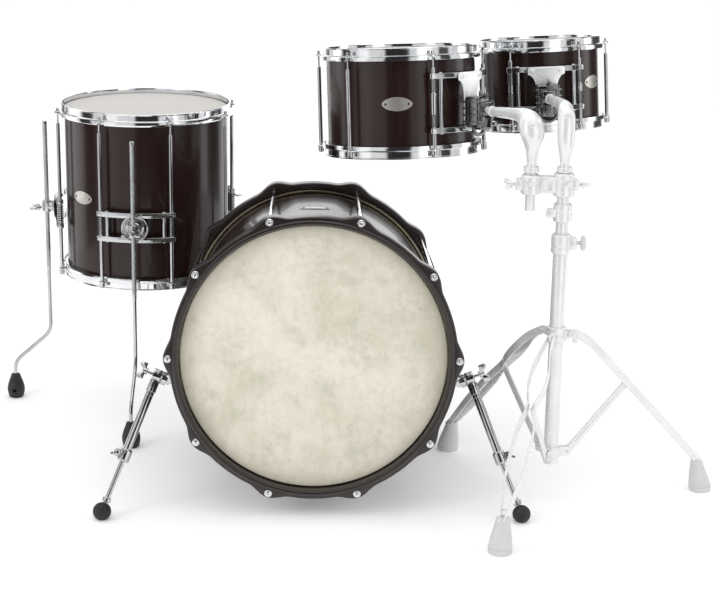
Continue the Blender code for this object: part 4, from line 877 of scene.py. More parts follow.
ALLOY = Plating("flesh_hoop_alloy", (0.8, 0.8, 0.79), (0.6, 0.6, 0.6), 0.16, 0.14)
PALE = Plating("pale_chrome", (0.82, 0.825, 0.83), (0.73, 0.735, 0.74), 0.22, 0.1, 0.26, speck=0.05)
BLACK_RUBBER = Rubber("black_rubber")
PALE_RUBBER = Rubber("pale_rubber", (0.6, 0.6, 0.6), (0.66, 0.66, 0.66))
HOOP_STAIN = HoopLacquer("hoop_lacquer")


# Hardware shared by the drums and the stand

@dataclass(frozen=True)
class WingScrew:
    """Wing screw whose stem starts at the origin and points up Z."""

    stem: float = 0.01
    span: float = 0.038
    height: float = 0.013
    gauge: float = 0.0045
    hub: float = 0.006
    shank: float = 0.003

    def build(self, name: str) -> Item:
        """The screw: threaded shank, flanged hub and two wings."""
        top = self.stem + 0.012
        flange = self.hub + 0.0012
        section = [(0.0, self.stem - 0.0002), *offset(flange, self.stem, (0.0, -0.0002), (0.0, 0.0016)),
                   (self.hub, self.stem + 0.0026), (self.hub * 0.86, top - 0.002), (0.0, top)]
        hub = BENCH.lathe(name, section, 32, 0.0006)
        shank = BENCH.post("shank", self.shank, 0.0, self.stem + 0.002, 0.0003, 20)
        half = self.span / 2
        outline = [(self.hub * 0.5, 0.0006), (half * 0.62, 0.0032), (half, 0.0016), (half, self.height),
                   (half * 0.52, self.height), (self.hub * 0.5, 0.0078)]
        wing = BENCH.slab("wing", softened(outline, 0.003), self.gauge, 0.0011)
        BENCH.move(wing, shift(z=self.stem + 0.002) @ turn(90.0, "X") @ shift(z=-self.gauge / 2))
        wings = BENCH.repeat(wing, [Matrix.Identity(4), turn(180.0)])
        rings = []
        root = self.shank * 0.9
        for level in range(3):
            low = 0.0022 + level * (self.stem - 0.003) / 3
            ridge = [(root, low), (self.shank + 0.0004, low + 0.0005), (root, low + 0.001)]
            rings.append(BENCH.lathe("thread", ridge, 20))
        return BENCH.join(name, hub, shank, wings, *rings)


def dome_screw(name: str, radius: float, height: float, cross: bool = True) -> Item:
    """Domed screw head on the plane z=0 with a cross or a single slot."""
    profile = [(0.0, height), (radius * 0.45, height * 0.93), (radius * 0.82, height * 0.62), (radius, 0.0),
               (0.0, 0.0)]
    head = BENCH.lathe(name, profile, 32, radius * 0.08)
    slots = [BENCH.block("slot", (radius * 1.2, radius * 0.26, height), (0.0, 0.0, height))]
    if cross:
        slots.append(BENCH.block("slot", (radius * 0.26, radius * 1.2, height), (0.0, 0.0, height)))
    return BENCH.cut(head, *slots)


def hex_nut(name: str, across: float, height: float) -> Item:
    """Six-sided nut on the plane z=0 with chamfered corners."""
    nut = BENCH.slab(name, circle(across / math.sqrt(3.0), 6), height, 0.0005)
    bolt = BENCH.post("bolt", across * 0.28, 0.0, height + 0.0012, 0.0004, 20)
    return BENCH.join(name, nut, bolt)


@dataclass(frozen=True)
class Badge:
    """Bare oval plate with a raised rim and two pins."""

    half_width: float = 0.0302
    half_height: float = 0.0138
    gauge: float = 0.0012

    def build(self, name: str, radius: float, angle: float, height: float) -> tuple[Item, Item]:
        """The badge on a shell.

        Args:
            name: Name of the piece.
            radius: Radius of the shell.
            angle: Where its middle is round the shell.
            height: Where its middle is along the shell.

        Returns:
            The badge and its pins in the drum's frame.
        """
        outline = oval(self.half_width, self.half_height, 72, 1.18)
        inner = [point * 0.9 for point in outline]
        plate = BENCH.ring_plate(name, outline, inner, self.gauge, 0.0002)
        panel = self.panel(inner)
        pins = BENCH.repeat(
            dome_screw(name + "_pins", 0.0026, 0.0014, False),
            [shift(side * self.half_width * 0.76, 0.0, self.gauge * 0.6) for side in (-1, 1)])
        spot = shift(z=height) @ turn(angle)
        badge = BENCH.wrap(BENCH.join(name, plate, panel), radius)
        return BENCH.move(badge, spot), BENCH.move(BENCH.wrap(pins, radius), spot)

    def panel(self, outline: list[Vector]) -> Item:
        """Thin sheet inside the rim, in strips so that it can bend."""
        count = len(outline)
        rows = [(outline[k], outline[-k % count]) for k in range(1, count // 2)]
        halves = [BENCH.close(BENCH.chain("panel", half)) for half in zip(*rows)]
        sheet = BENCH.join("panel", *halves)
        BENCH.edit(sheet)
        bpy.ops.mesh.bridge_edge_loops()
        bpy.ops.mesh.select_all(action="SELECT")
        bpy.ops.transform.translate(value=(0.0, 0.0, self.gauge * 0.6))
        BENCH.close(sheet)
        if sheet.data.polygons[0].normal.z < 0.0:
            BENCH.edit(sheet)
            bpy.ops.mesh.flip_normals()
            bpy.ops.object.mode_set(mode="OBJECT")
        return sheet


# Bass drum

@dataclass(frozen=True)
class BassDrum:
    """Bass drum on its side, with scalloped hoops and rods through both of them."""

    place: Place = Place((-0.052845, -0.341352, 0.308005), (-94.11, 0.0, 0.0))
    radius: float = 0.2525
    wall: float = 0.008
    edge: float = 0.0206
    span: float = 0.4982
    film: float = 0.0006
    collar: float = 0.0018
    flesh_rise: float = 0.009
    flesh_height: float = 0.012
    flesh_outer: float = 0.0055
    hoop_radius: float = 0.273
    hoop_depth: float = 0.038
    hoop_skirt: float = 0.2612
    lobe: float = 0.0115
    lobe_half: float = 9.0
    lugs: int = 10
    rod_circle: float = 0.275
    rod_radius: float = 0.0048
    washer: float = 0.0078
    badge_station: float = 0.2475

    def build(self) -> None:
        """Model and dress the whole drum."""
        self.shell()
        self.heads()
        self.hoops()
        self.rods()
        self.trim()

    def fit(self, item: Item, finish: Finish, node: str, stands_for: bool = False) -> Item:
        """Put a piece in the drum's place."""
        return BENCH.fit(item, self.place.matrix(), finish, ROOT, node, stands_for)

    def shell(self) -> None:
        """Shell with its bearing edges."""
        low, high = self.edge, self.span - self.edge
        inner = self.radius - self.wall
        profile = [(self.radius, low + 0.002), (self.radius, high - 0.002), (self.radius - 0.0018, high),
                   (inner, high - 0.006), (inner, low + 0.006), (self.radius - 0.0018, low)]
        finish = ShellLacquer("bass_shell_lacquer", self.place, self.radius - self.wall / 2)
        self.fit(BENCH.lathe("bass_shell_lacquered", profile, 200), finish, "bass_shell", True)

    def heads(self) -> None:
        """Both films and their flesh hoops."""
        looks = (
            (False, "front", "bass_front_head", Parchment("front_parchment", self.place, self.radius)),
            (True, "batter", "bass_batter_head", CoatedFilm("batter_coating", self.place, self.radius)))
        face = self.edge - self.film - GAP
        lap = self.radius + self.collar
        rim = face + self.flesh_rise + 0.002
        section = [(0.0, face), *offset(lap, face, (-0.005, 0.0), (-0.0012, 0.001), (0.0, 0.004)),
                   *offset(lap, rim, (0.0002, 0.0), (-0.0005, 0.0)),
                   *offset(lap, face, (-0.0007, 0.0042), (-0.0018, 0.0017), (-0.0052, self.film)),
                   (0.0, face + self.film)]
        start = face + self.flesh_rise
        end = start + self.flesh_height
        bore, outer = self.radius + 0.0012, self.radius + self.flesh_outer
        for rear, label, node, finish in looks:
            flip = shift(z=self.span) @ turn(180.0, "X") if rear else Matrix.Identity(4)
            film = BENCH.move(BENCH.lathe(label + "_film", section, 200), flip)
            self.fit(film, finish, node, True)
            square = [(bore, start), (outer, start), (outer, end), (bore, end)]
            ring = BENCH.lathe(label + "_flesh_hoop", square, 200, 0.0009)
            self.fit(BENCH.move(ring, flip), BRONZE, node)

    def scallop(self) -> list[Vector]:
        """Outline of a hoop, swelling at each rod."""
        spacing = 360.0 / self.lugs
        outline = []
        for step in range(360):
            away = (step - 90.0 + spacing / 2) % spacing - spacing / 2
            inside = abs(away) < self.lobe_half
            share = math.cos(math.radians(90.0 * away / self.lobe_half)) ** 2 if inside else 0.0
            outline.append(polar(self.hoop_radius + self.lobe * share, step))
        return outline

    def hoops(self) -> None:
        """Both hoops: scalloped board, lip over the flesh hoop and raised bead."""
        lip = self.radius + 0.0032
        back = self.edge + self.flesh_rise - 2.5 * GAP
        section = [
            (lip, back), (lip, 0.001), (0.2572, -0.0018), (0.259, -0.0042), (0.2616, -0.005),
            (0.2646, -0.0044), (0.2668, -0.0022), (0.2676, 0.0004), (0.269, 0.0012), (0.269, 0.01),
            (0.264, 0.012), (0.264, back)]
        for rear, node in ((False, "bass_front_hoop"), (True, "bass_rear_hoop")):
            skirt = circle(self.hoop_skirt, 360)
            board = BENCH.ring_plate(node + "_wood", self.scallop(), skirt, self.hoop_depth, 0.0028)
            bead = BENCH.lathe("bead", section, 240, 0.0006)
            hoop = BENCH.join(node + "_wood", board, bead)
            if rear:
                BENCH.move(hoop, shift(z=self.span) @ turn(180.0, "X"))
            self.fit(hoop, HOOP_STAIN, node, True)

    def rods(self) -> None:
        """Ten rods with cup washers, slotted heads and threaded inserts."""
        head = BENCH.move(
            dome_screw("bass_rods", 0.005, 0.0034, False), turn(180.0, "X") @ shift(z=0.0029))
        section = [
            (0.0, -GAP), *offset(self.washer, 0.0, (0.0, -GAP), (-0.0004, -0.0016), (-0.0018, -0.003)),
            (0.0052, -0.0031), (0.0, -0.0029)]
        cup = BENCH.lathe("cup", section, 40, 0.0003)
        neck, end = 0.3, self.span - 0.002
        thick, thin = self.rod_radius, self.rod_radius - 0.0012
        section = [
            (0.0, 0.001), (thick, 0.001), (thick, neck), (thin, neck + 0.004), (thin, end), (0.0, end)]
        rod = BENCH.lathe("rod", section, 24)
        depth = self.hoop_depth
        ferrule = BENCH.post("ferrule", thick + 0.0022, depth - 0.001, depth + 0.0035, 0.0006, 28)
        nut = BENCH.move(hex_nut("insert", 0.012, 0.003), shift(z=self.span - 0.0006))
        one = BENCH.join("bass_rods", head, cup, rod, ferrule, nut)
        seats = [turn(18.0 + 360.0 * k / self.lugs) @ shift(y=-self.rod_circle) for k in range(self.lugs)]
        self.fit(BENCH.repeat(one, seats), CHROME, "bass_rear_hoop")

    def trim(self) -> None:
        """Bare badge on the top of the shell."""
        badge, pins = Badge().build("bass_badge", self.radius + 0.0002, 0.0, self.badge_station)
        self.fit(badge, BRUSHED, "bass_shell")
        self.fit(pins, PINS, "bass_shell")


@dataclass(frozen=True)
class Spur:
    """Folding spur of the bass drum; side is -1 on the left."""

    name: str
    side: int
    drum: BassDrum = BassDrum()
    angle: float = 100.0
    station: float = 0.085
    reach: float = 0.0565
    foot: Pair = (0.4001, -0.0373)
    ball: float = 0.0175
    ball_flat: float = 0.0022
    tube_radius: float = 0.0085
    tube_length: float = 0.165
    rod_radius: float = 0.005
    rod_inside: float = 0.095
    knuckle: float = 0.013
    facets: int = 27

    def seat(self) -> Matrix:
        """Frame of the base plate: Z away from the shell, X along the drum."""
        place = self.drum.place.matrix()
        normal = polar(1.0, self.side * self.angle)
        flat = self.drum.radius * math.cos(math.pi / self.facets)
        start = normal * (flat + GAP) + Vector((0, 0, self.station))
        along = place.to_3x3() @ Vector((0.0, 0.0, 1.0))
        return facing(place @ start, place.to_3x3() @ normal, along)

    def toe(self) -> Vector:
        """Middle of the ball."""
        x, y, _ = self.drum.place.origin
        out, along = self.foot
        return Vector((x, y, 0.0)) + Vector((self.side * out, along, self.ball - self.ball_flat))

    def hinge(self) -> Vector:
        """Where the fold axis meets the spur."""
        return self.seat() @ Vector((0.0, 0.0, self.reach))

    def pivot(self) -> Matrix:
        """Frame of the fold: Z down the spur, X along the fold axis."""
        down = self.toe() - self.hinge()
        return facing(self.hinge(), down, (self.side * -down.z, 0.0, self.side * down.x))

    def length(self) -> float:
        """Distance from the fold axis to the middle of the ball."""
        return (self.toe() - self.hinge()).length

    def build(self) -> None:
        """Model and dress the whole spur."""
        place = self.pivot()
        node = self.name + "_spur_"
        BENCH.fit(self.bracket(), Matrix.Identity(4), SHADED_CHROME, ROOT, node + "bracket", True)
        BENCH.fit(self.tube(), place, SHADED_CHROME, self.name + "_spur", node + "tube", True)
        BENCH.fit(self.rod(), place, SHADED_CHROME, self.name + "_spur_extension", node + "rod", True)
        BENCH.fit(self.rubber(), place, BLACK_RUBBER, self.name + "_spur_extension", node + "foot", True)
        across = place @ shift(self.tube_radius + 0.0006) @ turn(90.0, "Y") @ turn(20.0)
        screw = WingScrew(span=0.036, height=0.017).build(self.name + "_spur_wing")
        BENCH.fit(screw, across, SHADED_CHROME, self.name + "_spur_screw", node + "wing_screw", True)

    def toothed(self, low: float, high: float) -> Item:
        """Hinge disc about Z with radial teeth on its upper face."""
        face = high - 0.0008
        disc = BENCH.post("disc", self.knuckle, low, face, 0.0008, 48)
        spot = (self.knuckle - 0.0032, 0.0, face)
        tooth = BENCH.block("tooth", (0.0046, 0.0015, 0.0014), spot, 0.0002, (1.0, 0.5))
        teeth = BENCH.repeat(tooth, [turn(360.0 * k / 24) for k in range(24)])
        return BENCH.join("disc", disc, teeth)

    def bracket(self) -> Item:
        seat, place = self.seat(), self.pivot()
        square = softened([(-0.024, -0.022), (0.024, -0.022), (0.024, 0.022), (-0.024, 0.022)], 0.008)
        plate = BENCH.slab("plate", square, 0.005, 0.0012)
        screws = [shift(x, y, 0.0048) for x in (-0.0175, 0.0175) for y in (-0.0155, 0.0155)]
        bolts = BENCH.repeat(dome_screw("bolt", 0.0036, 0.002), screws)
        base = BENCH.move(BENCH.join("base", plate, bolts), seat)
        inner = -self.tube_radius - 0.0006
        foot, back = seat @ Vector((0, 0, 0.004)), place @ Vector((inner - 0.012, 0.0, 0.0))
        length = (back - foot).length + 0.004
        web = BENCH.block("web", (0.034, 0.024, length), (0.0, 0.0, length / 2), 0.0015, (0.52, 0.72))
        windows = []
        for k, (wide, level) in enumerate(((0.0075, 0.3), (0.0055, 0.62))):
            half = wide / 2
            opening = softened([(-half, -0.005), (half, -0.005), (half, 0.005), (-half, 0.005)], 0.0016)
            for side in (-1, 1):
                spot = shift(side * (0.0072 - 0.0022 * k), 0.025, length * level) @ turn(90.0, "X")
                windows.append(BENCH.move(BENCH.slab("window", opening, 0.05), spot))
        BENCH.move(BENCH.cut(web, *windows), facing(foot, back - foot, seat.to_3x3() @ Vector((1, 0, 0))))
        disc = BENCH.move(self.toothed(inner - 0.012, inner), place @ turn(90.0, "Y"))
        return BENCH.join(self.name + "_spur_base", base, web, disc)

    def tube(self) -> Item:
        """Folding tube with its toothed eye and the lower clamp."""
        radius, end = self.tube_radius, self.tube_length
        eye = BENCH.move(self.toothed(-radius, radius), turn(-90.0, "Y"))
        boss = BENCH.move(BENCH.post("boss", 0.0085, 0.0, radius + 0.0003, 0.0008, 36), turn(90.0, "Y"))
        socket = BENCH.post("socket", radius + 0.0012, 0.0105, 0.034, 0.0012, 40)
        tube = BENCH.post("tube", radius - 0.0004, 0.006, end, 0.0006, 40)
        section = offset(radius, 0.0, (-0.001, 0.038), (0.0002, 0.039), (0.0002, 0.041), (-0.001, 0.042))
        grooves = BENCH.lathe("groove", section, 40)
        section = offset(0.0, end, (0.0054, -0.0125), (0.0112, -0.0125), (0.0122, -0.009), (0.0122, 0.009),
                         (0.0108, 0.0125), (0.0054, 0.0125))
        clamp = BENCH.lathe("clamp", section, 44, 0.0008)
        lug = BENCH.block("lug", (0.015, 0.0046, 0.015), (0.0125, 0.0, end), 0.0014)
        lugs = BENCH.repeat(lug, [shift(y=-0.0035), shift(y=0.0035)])
        nut = BENCH.move(hex_nut("nut", 0.008, 0.003), shift(0.015, 0.0056, end) @ turn(-90.0, "X"))
        spot = shift(0.015, -0.0054, end) @ turn(90.0, "X") @ turn(30.0)
        wing = BENCH.move(WingScrew(0.004, 0.03).build("wing"), spot)
        return BENCH.join(self.name + "_spur_leg", eye, boss, socket, tube, grooves, clamp, lugs, nut, wing)

    def rod(self) -> Item:
        """Sliding rod with a stop ring and its lock collar."""
        length = self.length()
        rod = BENCH.post("rod", self.rod_radius, self.rod_inside, length - 0.004, 0.0006, 32)
        low = length - self.ball - 0.01
        bore = self.rod_radius - 0.0005
        section = [(bore, low), (0.0078, low), (0.0088, low + 0.0016), (0.0088, low + 0.0072),
                   (0.0074, low + 0.0092), (bore, low + 0.0092)]
        collar = BENCH.lathe("collar", section, 40, 0.0005)
        section = offset(self.rod_radius, low, (-0.0005, -0.024), (0.0003, -0.0234), (0.0003, -0.0206),
                         (-0.0005, -0.02))
        stop = BENCH.lathe("stop", section, 36, 0.0003)
        return BENCH.join(self.name + "_spur_slider", rod, collar, stop)

    def rubber(self) -> Item:
        """Ball with a mould line and a flat where it stands."""
        length = self.length()
        profile = [(0.0, length - self.ball)]
        for step in range(1, 30):
            bend = math.radians(6.0 * step)
            radius = self.ball + (0.0004 if step == 15 else 0.0)
            profile.append((radius * math.sin(bend), length - radius * math.cos(bend)))
        profile.append((0.0, length + self.ball))
        ball = BENCH.lathe(self.name + "_spur_ball", profile, 56)
        under = self.pivot().inverted()
        toe = self.pivot() @ Vector((0.0, 0.0, length))
        floor = BENCH.move(BENCH.block("floor", (0.1, 0.1, 0.02)), under @ shift(toe.x, toe.y, -0.01))
        return BENCH.cut(ball, floor)


# Floor tom and rack toms

@dataclass(frozen=True)
class SteelDrum:
    """Drum with pressed steel hoops: a floor tom or a rack tom."""

    name: str
    body: str
    place: Place
    radius: float
    height: float
    rod_circle: float
    lugs: int
    first_rod: float
    badge_angle: float
    badge_height: float
    wall: float = 0.006
    film: float = 0.0006
    rise: float = 0.012
    flange: float = 0.0125
    flange_level: float = 0.0074
    sheet: float = 0.0023
    skirt: float = 0.0135
    ear: float = 0.0065
    rod_radius: float = 0.004

    def build(self) -> None:
        """Model and dress the whole drum."""
        self.shell()
        self.heads()
        self.hoops()
        self.rods()

    def fit(self, item: Item, finish: Finish, part: str, stands_for: bool = False) -> Item:
        """Put a piece in the drum's place."""
        return BENCH.fit(item, self.place.matrix(), finish, self.body, f"{self.name}_{part}", stands_for)

    def shell(self) -> None:
        """Shell with its bearing edges, and its badge."""
        inner, top = self.radius - self.wall, self.height
        section = [(self.radius, 0.002), *offset(self.radius, top, (0.0, -0.002), (-0.0015, 0.0)),
                   (inner, top - 0.0045), (inner, 0.0045), (self.radius - 0.0015, 0.0)]
        finish = ShellLacquer(self.name + "_lacquer", self.place, self.radius - self.wall / 2)
        self.fit(BENCH.lathe(self.name + "_lacquered", section, 160), finish, "shell", True)
        name, radius = self.name + "_badge", self.radius + 0.0002
        badge, pins = Badge().build(name, radius, self.badge_angle, self.badge_height)
        self.fit(badge, BRUSHED, "shell")
        self.fit(pins, PINS, "shell")

    def heads(self) -> None:
        """Both films with their flesh hoops."""
        lap = self.radius + 0.0018
        face = GAP + self.film
        film = [(0.0, face), *offset(lap, face, (-0.0045, 0.0), (-0.0011, -0.0009), (0.0, -0.0036),
                                     (0.0002, -0.01), (-0.0005, -0.01), (-0.0006, -0.0038),
                                     (-0.0016, -0.0016)), (lap - 0.0047, GAP), (0.0, GAP)]
        ring = offset(
            self.radius, face, (0.0012, -0.008), (0.0055, -0.008), (0.0055, -0.014), (0.0012, -0.014))
        coated = CoatedFilm(self.name + "_coating", self.place, self.radius)
        hazy = HazyFilm("lower_film")
        for part, finish, upper in (("top_head", coated, True), ("bottom_head", hazy, False)):
            for label, section, look in (("film", film, finish), ("flesh_hoop", ring, ALLOY)):
                item = BENCH.lathe(f"{self.name}_{part}_{label}", self.at_end(section, upper), 160)
                self.fit(item, look, part, label == "film")

    def at_end(self, section: list[Pair], upper: bool) -> list[Pair]:
        """Section of an upper piece, moved to the top edge or mirrored to the bottom one."""
        return [(radius, self.height + level if upper else -level) for radius, level in section]

    def hoops(self) -> None:
        """Both hoops: rolled lip, wall, flange with ears and turned-down skirt."""
        wall, rim, top = self.radius + 0.004, self.radius + self.flange, self.rise
        seat = 0.0012 - self.flange_level
        face, upper_face = wall + self.sheet, seat + self.sheet
        lip = offset(wall, top, (0.0, -0.003), (0.0004, -0.0012), (0.0016, -0.0002), (0.003, -0.0001),
                     (0.0038, -0.0012), (0.0036, -0.0026))
        section = [
            (wall, seat), *lip, (face, top - 0.0034),
            *offset(face, upper_face, (0.0, 0.0012), (0.0012, 0.0)),
            *offset(rim, upper_face, (-0.0018, 0.0), (-0.0004, -0.0007), (0.0, -0.0022)),
            (rim, -self.skirt), (rim - 0.0018, -self.skirt), (rim - 0.002, seat - 0.001),
            (rim - 0.003, seat)]
        for part, upper in (("top_hoop", True), ("bottom_hoop", False)):
            hoop = BENCH.lathe(f"{self.name}_{part}_steel", self.at_end(section, upper), 200)
            level = (self.height - self.skirt - 0.0012) if upper else self.skirt + 0.0012
            notch = BENCH.post("notch", 0.009, rim - 0.012, rim + 0.012, 0.0, 36)
            BENCH.move(notch, turn(90.0, "X"))
            BENCH.cut(hoop, BENCH.repeat(notch, self.round_rods(shift(z=level))))
            BENCH.bevel(hoop, 0.0004, 60.0, 2)
            self.fit(BENCH.join(hoop.name, hoop, self.ears(upper)), CHROME, part, True)

    def ears(self, upper: bool) -> Item:
        """Ears of a hoop, one at each rod."""
        inner = self.radius + 0.0075
        outer = self.rod_circle + self.ear
        corners = [(-0.0135, -inner), (-0.0082, -inner - 0.005), (-0.0066, -outer), (0.0066, -outer),
                   (0.0082, -inner - 0.005), (0.0135, -inner)]
        ear = BENCH.slab("ear", softened(corners, 0.0042), self.sheet, 0.0006)
        raised = 0.0012 - self.flange_level
        level = self.height + raised if upper else -raised - self.sheet
        return BENCH.repeat(ear, self.round_rods(shift(z=level)))

    def round_rods(self, place: Matrix) -> list[Matrix]:
        """One place for each rod, turned round the drum."""
        return [turn(self.rod_angle(k)) @ place for k in range(self.lugs)]

    def rod_angle(self, index: int) -> float:
        """Where a rod is round the drum."""
        return self.first_rod + 360.0 * index / self.lugs

    def rods(self) -> None:
        """Key-headed rods, their long sleeves and the nuts under the lower hoop."""
        seat = self.height + 0.0012 - self.flange_level + self.sheet
        radius, top, low = self.rod_radius, seat - 0.024, self.flange_level - 0.0012
        section = offset(0.0, seat, (0.0, 0.0002), (0.006, 0.0002), (0.006, 0.0013), (0.0044, 0.0024),
                         (0.0, 0.0024))
        washer = BENCH.lathe("washer", section, 32, 0.0003)
        key = BENCH.block("key", (0.0056, 0.0056, 0.0066), (0.0, 0.0, seat + 0.0056), 0.0007, (0.92, 0.92))
        thread = BENCH.lathe("thread", self.threaded(0.0019, top - 0.004, seat), 20)
        section = [(0.0, top), *offset(radius, top, (-0.001, 0.0), (0.0, -0.0022)),
                   *offset(radius, low, (0.0, 0.004), (-0.0006, 0.0)), (0.0, low)]
        sleeve = BENCH.lathe("sleeve", section, 28, 0.0004)
        bottom = -0.0075
        section = [(0.0, low + 0.001), (0.0058, low + 0.001), (0.006, -0.004), (0.0052, bottom),
                   (0.0, bottom - 0.0012)]
        nut = BENCH.lathe("nut", section, 32, 0.0008)
        hook = BENCH.block("hook", (0.0105, 0.007, 0.0046), (0.0, 0.0026, 0.003), 0.0012)
        one = BENCH.join(self.name + "_rods", washer, key, thread, sleeve, nut, hook)
        self.fit(BENCH.repeat(one, self.round_rods(shift(y=-self.rod_circle))), SHADED_CHROME, "bottom_hoop")

    def threaded(self, radius: float, low: float, high: float) -> list[Pair]:
        """Profile of a threaded shank."""
        pitch = 0.0011
        profile = [(0.0, low)]
        level = low
        while level < high:
            profile += [(radius, level), (radius - 0.0003, level + pitch / 2)]
            level += pitch
        return profile + [(radius, high), (0.0, high)]


# Brackets and legs

@dataclass(frozen=True)
class Bracket:
    """Two curved bars held on a pair of neighbouring rods, with posts and springs between them."""

    drum: SteelDrum
    low: float
    high: float
    bar_height: float = 0.0108
    bar_depth: float = 0.0125
    overhang: float = 0.008
    setback: float = 0.0155
    post: float = 0.0045
    wire: float = 0.0019
    coil: float = 0.0062

    def half(self) -> float:
        """Angle from the bracket's middle to a rod."""
        return 180.0 / self.drum.lugs

    def reach(self) -> float:
        """Angle from the bracket's middle to the end of a bar."""
        return self.half() + math.degrees(self.overhang / self.drum.rod_circle)

    def bars(self, name: str) -> Item:
        """Both bars, with rounded ends and a bolt over each post."""
        middle, half = self.drum.rod_circle, self.bar_height / 2
        outer, inner = middle + self.bar_depth / 2, middle - self.bar_depth / 2
        steps = [self.reach() * (k / 10.0 - 1.0) for k in range(21)]
        front = [polar(outer, angle) for angle in steps]
        rear = [polar(inner, angle) for angle in reversed(steps)]
        bar = BENCH.slab("bar", softened(front + rear, 0.0045, 3), self.bar_height, 0.001)
        parts = [BENCH.repeat(bar, [shift(z=level - half) for level in (self.low, self.high)])]
        away = self.half() - math.degrees(self.setback / middle)
        for side in (-1, 1):
            spot = turn(side * away) @ shift(y=-middle)
            post = BENCH.post("post", self.post, self.low, self.high, 0.0, 28)
            ends = [shift(z=self.high + half), shift(z=self.low - half) @ turn(180.0, "X")]
            caps = BENCH.repeat(dome_screw("cap", 0.005, 0.003), ends)
            seats = [shift(z=self.low + half - 0.0002), shift(z=self.high - half - 0.002)]
            collars = BENCH.repeat(BENCH.post("collar", 0.0058, 0.0, 0.0022, 0.0005, 28), seats)
            parts.append(BENCH.move(BENCH.join("post", post, caps, collars), spot))
        return BENCH.join(name, *parts)

    def on_rods(self) -> list[Matrix]:
        """One place on each of the two rods."""
        return [turn(side * self.half()) @ shift(y=-self.drum.rod_circle) for side in (-1, 1)]

    def springs(self, name: str, spans: Sequence[tuple[float, float, int]]) -> Item:
        """Springs on both rods, each (low, high, turns)."""
        made = []
        for low, high, turns in spans:
            coil = BENCH.coil("coil", self.coil, self.wire, low, high, turns)
            made.append(BENCH.repeat(coil, self.on_rods()))
        return BENCH.join(name, *made)


